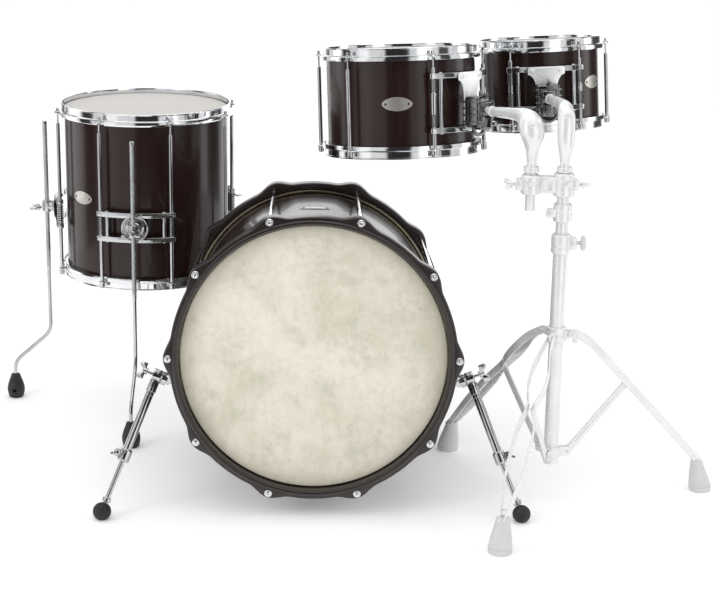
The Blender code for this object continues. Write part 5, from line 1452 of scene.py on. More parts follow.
@dataclass(frozen=True)
class FloorTomLeg:
    """Clamp bracket, bent leg, rubber foot and wing screw of one leg of the floor tom."""

    name: str
    drum: SteelDrum
    angle: float
    radius: float = 0.005
    thin: float = 0.0043
    circle: float = 0.2238
    splay: float = 0.084
    top: float = 0.64
    step: float = 0.3
    knee_top: float = 0.158
    knee_bottom: float = 0.084
    socket: float = 0.016
    foot_radius: float = 0.0195
    foot_height: float = 0.055
    disc: float = 0.0285

    def build(self) -> None:
        """Model and dress the leg and its bracket."""
        bracket = Bracket(self.drum, 0.1025, 0.1555)
        node = f"floor_tom_{self.name}_"
        spot = self.drum.place.matrix() @ turn(self.angle)
        bars = BENCH.join(node + "bars", bracket.bars(node + "bars"), self.clamp(bracket))
        BENCH.fit(bars, spot, SHADED_CHROME, ROOT, node + "bracket", True)
        inside = bracket.bar_height / 2
        springs = bracket.springs(node + "springs", [(bracket.low + inside, bracket.high - inside, 8)])
        BENCH.fit(springs, spot, STEEL, ROOT, node + "bracket")
        x, y, _ = self.drum.place.origin
        floor = shift(x, y) @ turn(self.angle)
        body = node + "leg_body"
        BENCH.fit(self.lower_rod(), floor, SHADED_CHROME, body, node + "leg", True)
        BENCH.fit(self.upper_rod(), floor, KNURLED, body, node + "leg")
        BENCH.fit(self.bulb(), floor, BLACK_RUBBER, body, node + "foot", True)
        across = spot @ shift(0.0, -(self.circle + self.radius + 0.006 + GAP), 0.125) @ turn(90.0, "X")
        screw = WingScrew(stem=0.004, span=0.042, height=0.018, hub=0.007).build(node + "wing")
        BENCH.fit(screw, across, SHADED_CHROME, node + "screw", node + "wing_screw", True)

    def clamp(self, bracket: Bracket) -> Item:
        """Dished disc and the eye that holds the leg."""
        middle = (bracket.low + bracket.high) / 2
        start = self.drum.rod_circle + bracket.bar_depth / 2
        rim = self.disc
        low, high = self.circle - self.radius - 0.0006, self.circle + self.radius + 0.0006
        section = offset(0.0, start, (0.0, -0.006), (rim * 0.7, -0.006), (rim * 0.93, -0.0002),
                         (rim, 0.0016), (rim, 0.003), (rim * 0.9, 0.0028), (rim * 0.68, -0.002),
                         (0.0, -0.002))
        disc = BENCH.lathe("disc", section, 64, 0.0006)
        section = offset(0.0, start, (0.0, -0.003), (0.015, -0.003), (0.0142, 0.006), (0.0118, 0.008))
        boss = BENCH.lathe("boss", [*section, (0.0112, low), (0.0, low)], 48, 0.0008)
        end = self.circle + self.radius + 0.006
        section = [(0.0, high), (0.0092, high), (0.0086, end - 0.001), (0.0, end)]
        face = BENCH.lathe("face", section, 40, 0.0007)
        out = shift(z=middle) @ turn(90.0, "X")
        horizontal = BENCH.move(BENCH.join("horizontal", disc, boss, face), out)
        bore = self.radius + 0.0004
        section = [
            (bore, -0.013), (0.0092, -0.013), (0.0102, -0.011), (0.0102, 0.011), (0.0092, 0.013),
            (bore, 0.013)]
        eye = BENCH.lathe("eye", section, 44, 0.0006)
        BENCH.move(eye, shift(0.0, -self.circle, middle))
        spots = [
            shift(side * 0.0098, -self.circle + 0.005, middle) @ turn(side * 90.0, "Y") for side in (-1, 1)]
        bolts = BENCH.repeat(hex_nut("bolt", 0.0072, 0.003), spots)
        return BENCH.join("clamp", horizontal, eye, bolts)

    def path(self) -> list[Vector]:
        """Bent part of the leg's centre line."""
        outer = self.circle + self.splay
        corners = [polar(self.circle, 0.0, self.step), polar(self.circle, 0.0, self.knee_top),
                   polar(outer, 0.0, self.knee_bottom), polar(outer, 0.0, self.socket)]
        return eased(corners, 0.02, 8)

    def lower_rod(self) -> Item:
        """Thin bent part, with the rounded end of the thick part above it."""
        rod = BENCH.tube("rod", self.path(), self.thin, None, 5)
        step, top, radius = self.step, self.top, self.radius
        section = [(0.0, step - 0.001), (self.thin, step - 0.001), (radius, step + 0.003),
                   (radius, step + 0.012), (0.0, step + 0.012)]
        neck = BENCH.lathe("neck", section, 32)
        section = [(0.0, top - 0.008), *offset(radius, top, (0.0, -0.008), (0.0, -0.0012), (-0.0012, 0.0)),
                   (0.0, top)]
        cap = BENCH.lathe("cap", section, 32)
        ends = BENCH.move(BENCH.join("ends", neck, cap), shift(y=-self.circle))
        return BENCH.join(f"floor_tom_{self.name}_leg_rod", rod, ends)

    def upper_rod(self) -> Item:
        """Knurled straight part."""
        low, high = self.step + 0.011, self.top - 0.007
        face = self.radius - 0.0001
        groove = self.radius - 0.0005
        bands = [(0.0, low), (face, low)]
        for band in range(3):
            level = low + (high - low) * (band + 1) / 4
            bands += [(face, level - 0.002), (groove, level - 0.0014), (groove, level + 0.0014),
                      (face, level + 0.002)]
        bands += [(face, high), (0.0, high)]
        return BENCH.move(BENCH.lathe(f"floor_tom_{self.name}_leg_knurl", bands, 32), shift(y=-self.circle))

    def bulb(self) -> Item:
        """Rubber foot with a lip, a rib and a hole through it."""
        wide, tall, bore = self.foot_radius, self.foot_height, self.thin + 0.0002
        section = [(0.0, 0.0), (0.0135, 0.0), (0.0165, 0.0025), (wide * 0.97, 0.013), (wide, 0.02),
                   (wide * 0.97, 0.026), (wide * 0.82, 0.037), (wide * 0.62, 0.047), (0.0108, 0.05),
                   (0.0108, 0.052), (0.0098, 0.053), (0.0095, tall), (bore, tall), (bore, tall - 0.006),
                   (0.0, tall - 0.006)]
        foot = BENCH.lathe(f"floor_tom_{self.name}_bulb", section, 56, 0.0012)
        across = shift(z=0.019) @ turn(90.0, "Y")
        hole = BENCH.move(BENCH.post("hole", 0.0042, -0.04, 0.04, 0.0, 32), across)
        return BENCH.move(BENCH.cut(foot, hole), shift(y=-(self.circle + self.splay)))


# Rack tom mounts

@dataclass(frozen=True)
class TomMount:
    """Isolating mount of a rack tom and the clamp for its arm."""

    drum: SteelDrum
    bar_low: float
    bar_high: float
    angle: float
    clamp_height: float
    post: Pair
    clamp_out: float = 0.036
    spring_length: float = 0.027
    sleeve: float = 0.0058
    top_half: float = 0.0385
    neck_half: float = 0.021

    def frame(self) -> Matrix:
        """Frame of the mount: its middle faces -Y."""
        return self.drum.place.matrix() @ turn(self.angle)

    def clamp_frame(self) -> Matrix:
        """Frame of the clamp: Z along the arm's rod, X up."""
        centre = self.frame() @ Vector((0.0, -(self.drum.rod_circle + self.clamp_out), self.clamp_height))
        toward = Vector((self.post[0] - centre.x, self.post[1] - centre.y, 0.0))
        return facing(centre, toward, (0.0, 0.0, 1.0))

    def build(self) -> None:
        """Model and dress the mount."""
        bracket = Bracket(self.drum, self.bar_low, self.bar_high, wire=0.0023, coil=0.0068)
        name, node = self.drum.name, self.drum.name + "_mount"
        inside = bracket.bar_height / 2
        low, high = self.bar_low + inside, self.bar_high - inside
        start, end = low + self.spring_length, high - self.spring_length
        bore = self.drum.rod_radius + 0.0008
        section = [(bore, start), (self.sleeve, start), (self.sleeve, end), (bore, end)]
        sleeves = BENCH.repeat(BENCH.lathe("sleeve", section, 36, 0.0007), bracket.on_rods())
        metal = BENCH.join(node + "_metal", bracket.bars("bars"), sleeves)
        BENCH.fit(metal, self.frame(), SHADED_CHROME, name, node, True)
        BENCH.fit(self.plate(node + "_plate", bracket), self.frame(), SATIN, name, node)
        BENCH.fit(self.clamp(node + "_clamp"), self.frame(), SMOKED, name, node)
        springs = bracket.springs(node + "_springs", [(low, start, 6), (end, high, 6)])
        BENCH.fit(springs, self.frame(), STEEL, name, node)
        side = name.split("_")[0]
        above = self.clamp_frame() @ shift(0.014 + GAP) @ turn(90.0, "Y")
        screw = WingScrew(stem=0.004, span=0.034).build(name + "_wing")
        BENCH.fit(screw, above, SMOKED, side + "_mount_screw", name + "_wing_screw", True)

    def plate(self, name: str, bracket: Bracket) -> Item:
        """Shield plate, wide above and drawn into a loop below."""
        top = self.bar_high + bracket.bar_height / 2
        low = self.bar_low - bracket.bar_height / 2
        wide, neck = self.top_half, self.neck_half
        side = []
        for step in range(9):
            bend = math.radians(90.0 * step / 8)
            side.append(
                (wide - (wide - neck) * math.sin(bend), top - 0.016 - 0.036 * (1.0 - math.cos(bend))))
        loop = arc(neck, neck, low + neck, 12.0, 16)
        outline = [
            (wide, top - 0.004), *side, *loop, *[(-x, y) for x, y in reversed(side)], (-wide, top - 0.004),
            (-wide + 0.004, top), (wide - 0.004, top)]
        plate = BENCH.slab("plate", outline, 0.003, 0.0009)
        inner, slot_top = neck - 0.0072, top - 0.07
        slot = [(inner, slot_top), (inner, low + neck), *arc(inner, inner, low + neck, 15.0, 13),
                (-inner, low + neck), (-inner, slot_top)]
        BENCH.cut(plate, BENCH.move(BENCH.slab("window", slot, 0.02), shift(z=-0.01)))
        spots = [shift(x, top - 0.0085, 0.003) for x in (-wide + 0.0095, wide - 0.0095)]
        screws = BENCH.repeat(dome_screw("screw", 0.0048, 0.0026), spots)
        rim = BENCH.strap("rim", [(-wide + 0.008, 0.0, 0.0), (wide - 0.008, 0.0, 0.0)], 0.0022, 0.0012)
        BENCH.move(rim, shift(0.0, top - 0.0032, 0.0032) @ turn(90.0, "X"))
        face = self.drum.rod_circle + bracket.bar_depth / 2
        whole = BENCH.join(name, plate, screws, rim)
        return BENCH.move(whole, shift(y=-face + 0.002) @ turn(90.0, "X"))

    def clamp(self, name: str) -> Item:
        """Cast clamp round the arm's rod, with its jaw, bolts and stem."""
        local = self.frame().inverted() @ self.clamp_frame()
        section = [
            (0.0064, -0.0138), (0.0128, -0.0138), (0.014, -0.0118), (0.014, -0.005), (0.0128, -0.0036)]
        section += [(radius, -level) for radius, level in reversed(section)]
        body = BENCH.lathe("body", section, 48, 0.0006)
        saddle = BENCH.block("saddle", (0.027, 0.036, 0.035), (0.0005, 0.0, 0.0), 0.0044)
        jaw = BENCH.block("jaw", (0.03, 0.033, 0.031), (-0.028, 0.0, 0.0), 0.005, (0.88, 0.88))
        spots = [shift(-0.024, side * 0.0155, 0.0) @ turn(-side * 90.0, "X") for side in (-1, 1)]
        nuts = BENCH.repeat(hex_nut("nut", 0.0095, 0.0036), spots)
        rib = BENCH.block("rib", (0.03, 0.0022, 0.0372), rounding=0.0008)
        ribs = BENCH.repeat(rib, [shift(y=-0.013), shift(y=0.013)])
        clamp = BENCH.move(BENCH.join("clamp", body, saddle, jaw, nuts, ribs), local)
        face = self.drum.rod_circle + 0.00625
        section = offset(0.0, face, (0.0, -0.003), (0.016, -0.003), (0.015, 0.005), (0.011, 0.009),
                         (0.01, 0.023), (0.0, 0.023))
        stem = BENCH.lathe("stem", section, 44, 0.001)
        BENCH.move(stem, shift(z=self.clamp_height) @ turn(90.0, "X"))
        return BENCH.join(name, clamp, stem, self.housing())

    def housing(self) -> Item:
        """Boxy casting between the plate and the clamp, ribbed and bolted, with a loop below."""
        body = BENCH.block("body", (0.052, 0.036, 0.062), (0.0, 0.0, 0.0), 0.006, (0.94, 0.94))
        rib = BENCH.block("rib", (0.055, 0.039, 0.0034), rounding=0.001)
        ribs = BENCH.repeat(rib, [shift(z=level) for level in (-0.019, -0.006, 0.007, 0.02)])
        spots = [
            shift(x, -0.0178, z) @ turn(90.0, "X") for z in (0.0135, -0.0125) for x in (-0.0155, 0.0155)]
        bolts = BENCH.repeat(hex_nut("bolt", 0.0088, 0.0046), spots)
        bend = [(x, 0.0, z) for x, z in arc(0.0185, 0.0165, -0.03, 15.0, 13)]
        loop = BENCH.tube("loop", [(0.0185, 0.0, -0.022), *bend, (-0.0185, 0.0, -0.022)], 0.0038)
        casting = BENCH.join("housing", body, ribs, bolts, loop)
        out = self.drum.rod_circle + 0.025
        return BENCH.move(casting, shift(0.0, -out, self.clamp_height - 0.006))


@dataclass(frozen=True)
class TomArm:
    """Cast arm from the holder's socket to a rack tom's clamp."""

    side: str
    mount: TomMount
    straight_in: bool
    rise: float
    housing: float
    shoulder: float
    waist: float
    holder: float = 0.607
    depth: float = 0.046
    stub: float = 0.028
    rod: float = 0.006
    body: float = 0.0115
    post: float = 0.0095

    def stations(self) -> list[tuple[Vector, float]]:
        """Centre line and radius, from the rod's end to the post's end."""
        clamp = self.mount.clamp_frame()
        centre = clamp.translation
        toward = clamp.to_3x3() @ Vector((0.0, 0.0, 1.0))
        reach = (Vector((*self.mount.post, centre.z)) - centre).length
        height, crest = centre.z, centre.z + self.rise
        elbow = self.shoulder
        line = [(0.038, height, self.rod), (0.043, height, self.body), (reach - 0.055, crest, self.body),
                (reach - 0.03, crest - 0.001, elbow * 0.78), (reach - 0.008, crest - 0.01, elbow),
                (reach + 0.001, crest - 0.032, elbow), (reach, crest - self.housing, elbow * self.waist),
                (reach, crest - self.housing - 0.012, self.post * 1.25),
                (reach, self.holder + self.depth + 0.014, self.post * 1.1)]
        points = []
        for distance, level, radius in line:
            spot = centre + toward * distance
            points.append((Vector((spot.x, spot.y, level)), radius))
        return points

    def build(self) -> None:
        """Model and dress the arm."""
        clamp = self.mount.clamp_frame()
        x, y = self.mount.post
        stations = self.stations()
        path = [point for point, _ in stations]
        horn = BENCH.tube("horn", path, 1.0, [radius for _, radius in stations], 3)
        BENCH.pick(horn)
        smooth = horn.modifiers.new("rounding", "SUBSURF")
        smooth.levels = 2
        smooth.render_levels = 2
        bpy.ops.object.modifier_apply(modifier=smooth.name)
        rod = BENCH.move(BENCH.post("rod", self.rod, -0.03, 0.046, 0.001, 32), clamp)
        collar = BENCH.move(BENCH.post("collar", 0.0104, 0.034, 0.041, 0.001, 36), clamp)
        top = self.holder + self.depth
        low = self.holder - self.stub if not self.straight_in else self.holder + 0.008
        post = BENCH.move(BENCH.post("post", self.post, low, top + 0.022, 0.001, 40), shift(x, y))
        bore = self.post - 0.001
        section = offset(0.0, top, (bore, 0.0008), (0.0142, 0.0008), (0.015, 0.0022), (0.015, 0.0098),
                         (0.0138, 0.0112), (bore, 0.0112))
        ring = BENCH.lathe("ring", section, 44, 0.0006)
        key = BENCH.block("key", (0.0056, 0.0046, 0.008), (0.0158, 0.0, top + 0.006), 0.0009)
        spot = shift(0.016, -0.002, top + 0.006) @ turn(90.0, "X")
        bolt = BENCH.move(dome_screw("bolt", 0.0034, 0.0024), spot)
        lock = BENCH.move(BENCH.join("lock", ring, key, bolt), shift(x, y) @ turn(-60.0))
        spot = facing(path[4], (0, -1, 0), (1, 0, 0)) @ shift(z=self.shoulder - 0.0012)
        pin = BENCH.move(dome_screw("pin", 0.005, 0.0026), spot)
        whole = BENCH.join(self.side + "_arm_casting", horn, rod, collar, post, lock, pin)
        BENCH.fit(whole, Matrix.Identity(4), PALE, self.side + "_arm", self.side + "_tom_arm", True)


# Tom stand

class Leg(Enum):
    """The stand's legs and where each one points, in thirds of a turn from the first."""

    FRONT = 0
    RIGHT = 1
    LEFT = 2


@dataclass(frozen=True)
class TomStand:
    """Folding tripod, height tube and twin holder."""

    place: Place = Place((0.417755, -0.239352, 0.0))
    first_leg: float = -23.9
    tube: float = 0.0143
    bore: float = 0.0127
    tube_low: float = 0.068
    tube_high: float = 0.53
    hub: float = 0.019
    hub_pivot: Pair = (0.033, 0.092)
    collar: float = 0.019
    collar_pivot: Pair = (0.037, 0.335)
    bend: Pair = (0.07, 0.316)
    joint: Pair = (0.146, 0.233)
    toe: Pair = (0.301, 0.064)
    bar_width: float = 0.015
    bar_gauge: float = 0.003
    spread: float = 0.017
    pivot_spread: float = 0.0055
    clamp: float = 0.019
    upper: float = 0.0117
    holder: float = 0.607
    depth: float = 0.046
    socket: float = 0.02
    spacing: float = 0.063

    def build(self) -> None:
        """Model and dress the whole stand."""
        self.base()
        self.leg_collar()
        for leg in Leg:
            self.leg(leg)
        self.top()
        self.screws()

    def fit(self, item: Item, finish: Finish, body: str, node: str, stands_for: bool = True) -> Item:
        """Put a piece in the stand's place."""
        return BENCH.fit(item, self.place.matrix(), finish, body, node, stands_for)

    def leg_turn(self, leg: Leg) -> Matrix:
        """Frame of a leg: X points out along it."""
        return turn(self.first_leg + 120.0 * leg.value - 90.0)

    def rivet(self, pivot: Pair, half: float, radius: float = 0.0036) -> Item:
        """Pin across a leg's plane with a dome at each end."""
        pin = BENCH.move(BENCH.post("rivet", radius * 0.8, -half, half, 0.0, 24), turn(90.0, "X"))
        ends = [shift(y=side * half) @ turn(-side * 90.0, "X") for side in (-1, 1)]
        caps = BENCH.repeat(dome_screw("cap", radius, 0.0018), ends)
        return BENCH.move(BENCH.join("rivet", pin, caps), shift(pivot[0], 0.0, pivot[1]))

    def base(self) -> None:
        """Lower tube, strut hub with ears, and the height clamp."""
        radius, foot, top = self.tube, self.tube_low, self.tube_high
        section = [(self.bore, foot), (radius, foot), (radius, top), (self.bore, top)]
        tube = BENCH.lathe("stand_lower_tube", section, 64, 0.0004)
        out, middle = self.hub_pivot
        section = [*offset(radius, middle, (-0.0005, -0.012)),
                   *offset(self.hub, middle, (-0.002, -0.012), (0.0, -0.01), (0.0, 0.007)),
                   *offset(radius, middle, (0.0018, 0.012), (-0.0005, 0.012))]
        hub = BENCH.lathe("hub", section, 56, 0.0007)
        section = [(0.0, foot - 0.0002), *offset(radius, foot, (-0.0018, -0.0002), (-0.0014, 0.002)),
                   (0.0, foot + 0.002)]
        plug = BENCH.lathe("plug", section, 40)
        near, far = radius + 0.001, out + 0.006
        outline = softened([(near, -0.01), (far, -0.008), (far, 0.009), (near, 0.01)], 0.005)
        ear = BENCH.slab("ear", outline, 0.003, 0.0006)
        BENCH.move(ear, shift(z=middle) @ turn(90.0, "X") @ shift(z=-0.0015))
        spots = [self.leg_turn(leg) @ shift(y=side * 0.0046) for leg in Leg for side in (-1, 1)]
        ears = BENCH.repeat(ear, spots)
        grip = top - 0.034
        lower = offset(self.clamp, grip, (-0.0028, 0.0), (0.0, 0.003), (0.0, 0.012), (-0.0012, 0.0135),
                       (0.0, 0.015))
        upper = offset(self.clamp, top, (0.0, 0.001), (-0.0024, 0.004))
        section = [(radius - 0.0005, grip), *lower, *upper, (self.bore, top + 0.004),
                   (self.bore, top - 0.001)]
        clamp = BENCH.lathe("clamp", section, 56, 0.0006)
        spot = (self.clamp + 0.003, 0.0, top - 0.014)
        boss = BENCH.block("boss", (0.016, 0.018, 0.024), spot, 0.0032)
        slit = BENCH.block("slit", (0.02, 0.0018, 0.02), (self.clamp, 0.0, top - 0.004))
        BENCH.cut(boss, slit)
        spot = shift(self.clamp + 0.004, 0.0, top - 0.014)
        nut = BENCH.move(hex_nut("nut", 0.0085, 0.003), spot @ shift(y=0.0088) @ turn(-90.0, "X"))
        bolt = BENCH.move(dome_screw("bolt", 0.004, 0.0022), spot @ shift(y=-0.0088) @ turn(90.0, "X"))
        whole = BENCH.join("stand_lower_tube", tube, hub, plug, ears, clamp, boss, nut, bolt)
        self.fit(whole, PALE, ROOT, "stand_base_tube")

    def leg_collar(self) -> None:
        """Sliding collar with a tongue for each leg and its wing screw."""
        radius, level = self.collar_pivot
        bore = self.tube + 0.0006
        face = offset(self.collar, level, (-0.0014, -0.015), (0.0, -0.013), (0.0, -0.004), (-0.0012, 0.0),
                      (0.0, 0.004), (0.0, 0.013), (-0.0014, 0.015))
        section = [(bore, level - 0.015), *face, (bore, level + 0.015)]
        collar = BENCH.lathe("stand_collar_casting", section, 56, 0.0006)
        wide = 2.0 * (self.pivot_spread - self.bar_gauge / 2 - 0.0006)
        near, far = self.collar - 0.002, radius + 0.0068
        outline = softened([(near, -0.009), (far, -0.0075), (far, 0.0075), (near, 0.009)], 0.0062)
        tongue = BENCH.slab("tongue", outline, wide, 0.0006)
        BENCH.move(tongue, shift(z=level) @ turn(90.0, "X") @ shift(z=-wide / 2))
        tongues = BENCH.repeat(tongue, [self.leg_turn(leg) for leg in Leg])
        out = turn(-25.0) @ shift(z=level) @ turn(90.0, "Y")
        boss = BENCH.post("boss", 0.0072, self.collar - 0.003, self.collar + 0.005, 0.0008, 36)
        wing = BENCH.move(
            WingScrew(0.01, 0.032).build("wing"), out @ shift(z=self.collar - 0.002) @ turn(20.0))
        whole = BENCH.join("stand_collar_casting", collar, tongues, BENCH.move(boss, out), wing)
        self.fit(whole, PALE, "stand_collar", "stand_leg_collar")

    def leg_line(self, side: int) -> list[Vector]:
        """Centre line of one of a leg's two bowed bars."""
        bend, joint, toe = Vector(self.bend), Vector(self.joint), Vector(self.toe)
        narrow, wide = self.pivot_spread, self.spread
        stations = [
            (Vector(self.collar_pivot), narrow), (bend, narrow + 0.003), (bend.lerp(joint, 0.35), wide),
            (bend.lerp(joint, 0.72), wide), (joint, narrow), (joint.lerp(toe, 0.25), wide),
            (joint.lerp(toe, 0.6), wide), (toe, narrow),
            (toe + (toe - joint).normalized() * 0.012, narrow)]
        return eased([Vector((out.x, side * across, out.y)) for out, across in stations], 0.016, 6)

    def leg(self, leg: Leg) -> None:
        """One leg, its strut and its boot."""
        name = "stand_" + leg.name.lower()
        where = self.leg_turn(leg)
        bars = [BENCH.strap("bar", self.leg_line(side), self.bar_width, self.bar_gauge) for side in (-1, 1)]
        pins = [self.rivet(spot, self.pivot_spread + 0.0015) for spot in (self.collar_pivot, self.joint)]
        sock = Vector(self.joint).lerp(Vector(self.toe), 0.93)
        pins.append(self.rivet((sock.x, sock.y), self.pivot_spread + 0.0024, 0.0028))
        whole = BENCH.move(BENCH.join(name + "_leg_bars", *bars, *pins), where)
        self.fit(whole, PALE, name + "_leg_body", name + "_leg")
        boot = BENCH.move(self.boot(name + "_boot"), where)
        self.fit(boot, PALE_RUBBER, name + "_leg_body", name + "_leg", False)
        low = Vector((self.hub_pivot[0], 0.0, self.hub_pivot[1]))
        high = Vector((self.joint[0], 0.0, self.joint[1] - 0.002))
        past = (high - low).normalized() * 0.0055
        strut = BENCH.strap("strut", [low - past, low.lerp(high, 0.5), high + past], 0.015, 0.005)
        inner = BENCH.strap("rib", [low.lerp(high, 0.12), low.lerp(high, 0.88)], 0.005, 0.0062)
        pin = self.rivet(self.hub_pivot, 0.0066)
        whole = BENCH.move(BENCH.join(name + "_strut_bar", strut, inner, pin), where)
        self.fit(whole, PALE, name + "_strut_body", name + "_strut")

    def boot(self, name: str) -> Item:
        """Tapered rubber boot with ribs round its sole."""
        sections = [(0.312, 0.0, 0.0198, 0.0205), (0.3112, 0.0014, 0.0218, 0.0224),
                    (0.311, 0.0096, 0.0221, 0.0227), (0.3106, 0.0104, 0.0212, 0.0217),
                    (0.3104, 0.0124, 0.0212, 0.0217), (0.3102, 0.0134, 0.0219, 0.0225),
                    (0.307, 0.029, 0.0192, 0.02), (0.3036, 0.045, 0.0152, 0.0164),
                    (0.3008, 0.06, 0.0118, 0.0134), (0.3, 0.064, 0.011, 0.0124),
                    (0.2998, 0.0656, 0.0094, 0.0108)]
        x, z, long, wide = sections[0]
        sole = [Vector((point.x * long + x, point.y * wide, z)) for point in oval(1.0, 1.0, 48)]
        item = BENCH.chain(name, sole)
        bpy.ops.mesh.select_all(action="SELECT")
        bpy.ops.mesh.edge_face_add()
        for before, after in zip(sections, sections[1:]):
            step = (after[0] - before[0], 0.0, after[1] - before[1])
            bpy.ops.mesh.extrude_region_move(TRANSFORM_OT_translate={"value": step})
            bpy.ops.transform.resize(value=(after[2] / before[2], after[3] / before[3], 1.0))
        return BENCH.close(item)

    def top(self) -> None:
        """Upper tube, memory clamp and the casting with both sockets."""
        middle = self.holder + self.depth / 2
        tube = BENCH.post("stand_holder_casting", self.upper, 0.3, self.holder + 0.006, 0.0006, 56)
        cups = [self.cup(0.0, self.socket, 0.0), self.cup(-self.spacing, self.socket * 0.95, 0.004)]
        web = BENCH.block(
            "web", (self.spacing - 0.03, 0.02, self.depth - 0.014), (0.0, 0.0, 0.0), 0.003)
        size = (self.spacing - 0.046, 0.006, self.depth - 0.026)
        pocket = BENCH.block("pocket", size, rounding=0.0012)
        BENCH.cut(web, BENCH.repeat(pocket, [shift(y=-0.011), shift(y=0.011)]))
        BENCH.move(web, shift(-self.spacing / 2, 0.0, middle))
        spots = [
            shift(x, -0.018, middle + 0.004) @ turn(90.0, "X") for x in (0.006, -self.spacing - 0.004)]
        hexes = BENCH.repeat(hex_nut("hex", 0.009, 0.0034), spots)
        bosses = [BENCH.block("boss", (0.014, 0.016, 0.022), (x, 0.0, middle), 0.003)
                  for x in (-self.spacing - self.socket - 0.002, self.socket + 0.002)]
        whole = BENCH.join("stand_holder_casting", tube, *self.memory(), *cups, web, hexes, *bosses)
        self.fit(whole, PALE, "stand_top", "stand_tom_holder")

    def memory(self) -> list[Item]:
        """Memory clamp of the upper tube: ring, key and key's screw."""
        base, radius, long = 0.559, 0.018, 0.034
        bore = self.upper - 0.0005
        face = offset(radius, base, (-0.0016, 0.0), (0.0, 0.0016), (0.0, 0.014), (-0.001, 0.015),
                      (-0.001, 0.019), (0.0, 0.02), (0.0, long - 0.0016), (-0.0016, long))
        ring = BENCH.lathe("memory", [(bore, base), *face, (bore, base + long)], 56, 0.0005)
        level = base + long / 2
        key = BENCH.block("key", (0.019, 0.011, 0.017), (-radius - 0.004, -0.006, level), 0.0026)
        spot = shift(-radius - 0.008, -0.0112, level) @ turn(90.0, "X")
        return [ring, key, BENCH.move(dome_screw("keyed", 0.004, 0.003), spot)]

    def cup(self, x: float, radius: float, trim: float) -> Item:
        """One socket of the holder.

        Args:
            x: Where it is along the holder.
            radius: Its outer radius.
            trim: How much shorter it is at each end; the full one goes over the upper tube.

        Returns:
            The socket.
        """
        low, high = self.holder + trim, self.holder + self.depth - trim
        bore = 0.0097
        start, mouth = (low, bore) if trim else (low + 0.006, 0.01)
        section = [
            (bore, start), (bore, high),
            *offset(radius, high, (-0.003, 0.0), (0.0, -0.003), (0.0, -0.011), (-0.0014, -0.0125)),
            *offset(radius, low, (-0.0014, 0.0125), (0.0, 0.011), (0.0, 0.003), (-0.0034, 0.0)),
            (mouth, low)]
        return BENCH.move(BENCH.lathe("cup", section, 56, 0.0006), shift(x))

    def screws(self) -> None:
        """Wing screws of both sockets and the oval height knob."""
        middle = self.holder + self.depth / 2
        right = shift(self.socket + 0.009 + GAP, 0.0, middle) @ turn(90.0, "Y") @ turn(70.0)
        left = shift(-self.spacing - self.socket - 0.009 - GAP, 0.0, middle) @ turn(-90.0, "Y") @ turn(70.0)
        for side, spot in (("right", right), ("left", left)):
            wing = WingScrew(stem=0.005, span=0.034).build(side + "_arm_wing")
            self.fit(BENCH.move(wing, spot), PALE, side + "_arm_screw", side + "_arm_wing_screw")
        shank = BENCH.post("stand_knob_grip", 0.004, 0.0, 0.01, 0.0005, 28)
        section = [(0.0, 0.008), (0.0118, 0.008), (0.0146, 0.01), (0.015, 0.0126), (0.0142, 0.015),
                   (0.0112, 0.017), (0.006, 0.0166), (0.0, 0.0164)]
        grip = BENCH.lathe("grip", section, 56, 0.001)
        BENCH.edit(grip)
        bpy.ops.transform.resize(value=(1.0, 0.62, 1.0))
        BENCH.close(grip)
        spot = shift(self.clamp + 0.011 + GAP, 0.0, self.tube_high - 0.014) @ turn(90.0, "Y")
        self.fit(BENCH.move(BENCH.join("stand_knob_grip", shank, grip), spot), PALE_RUBBER, "stand_knob",
                 "stand_height_knob")


# Studio

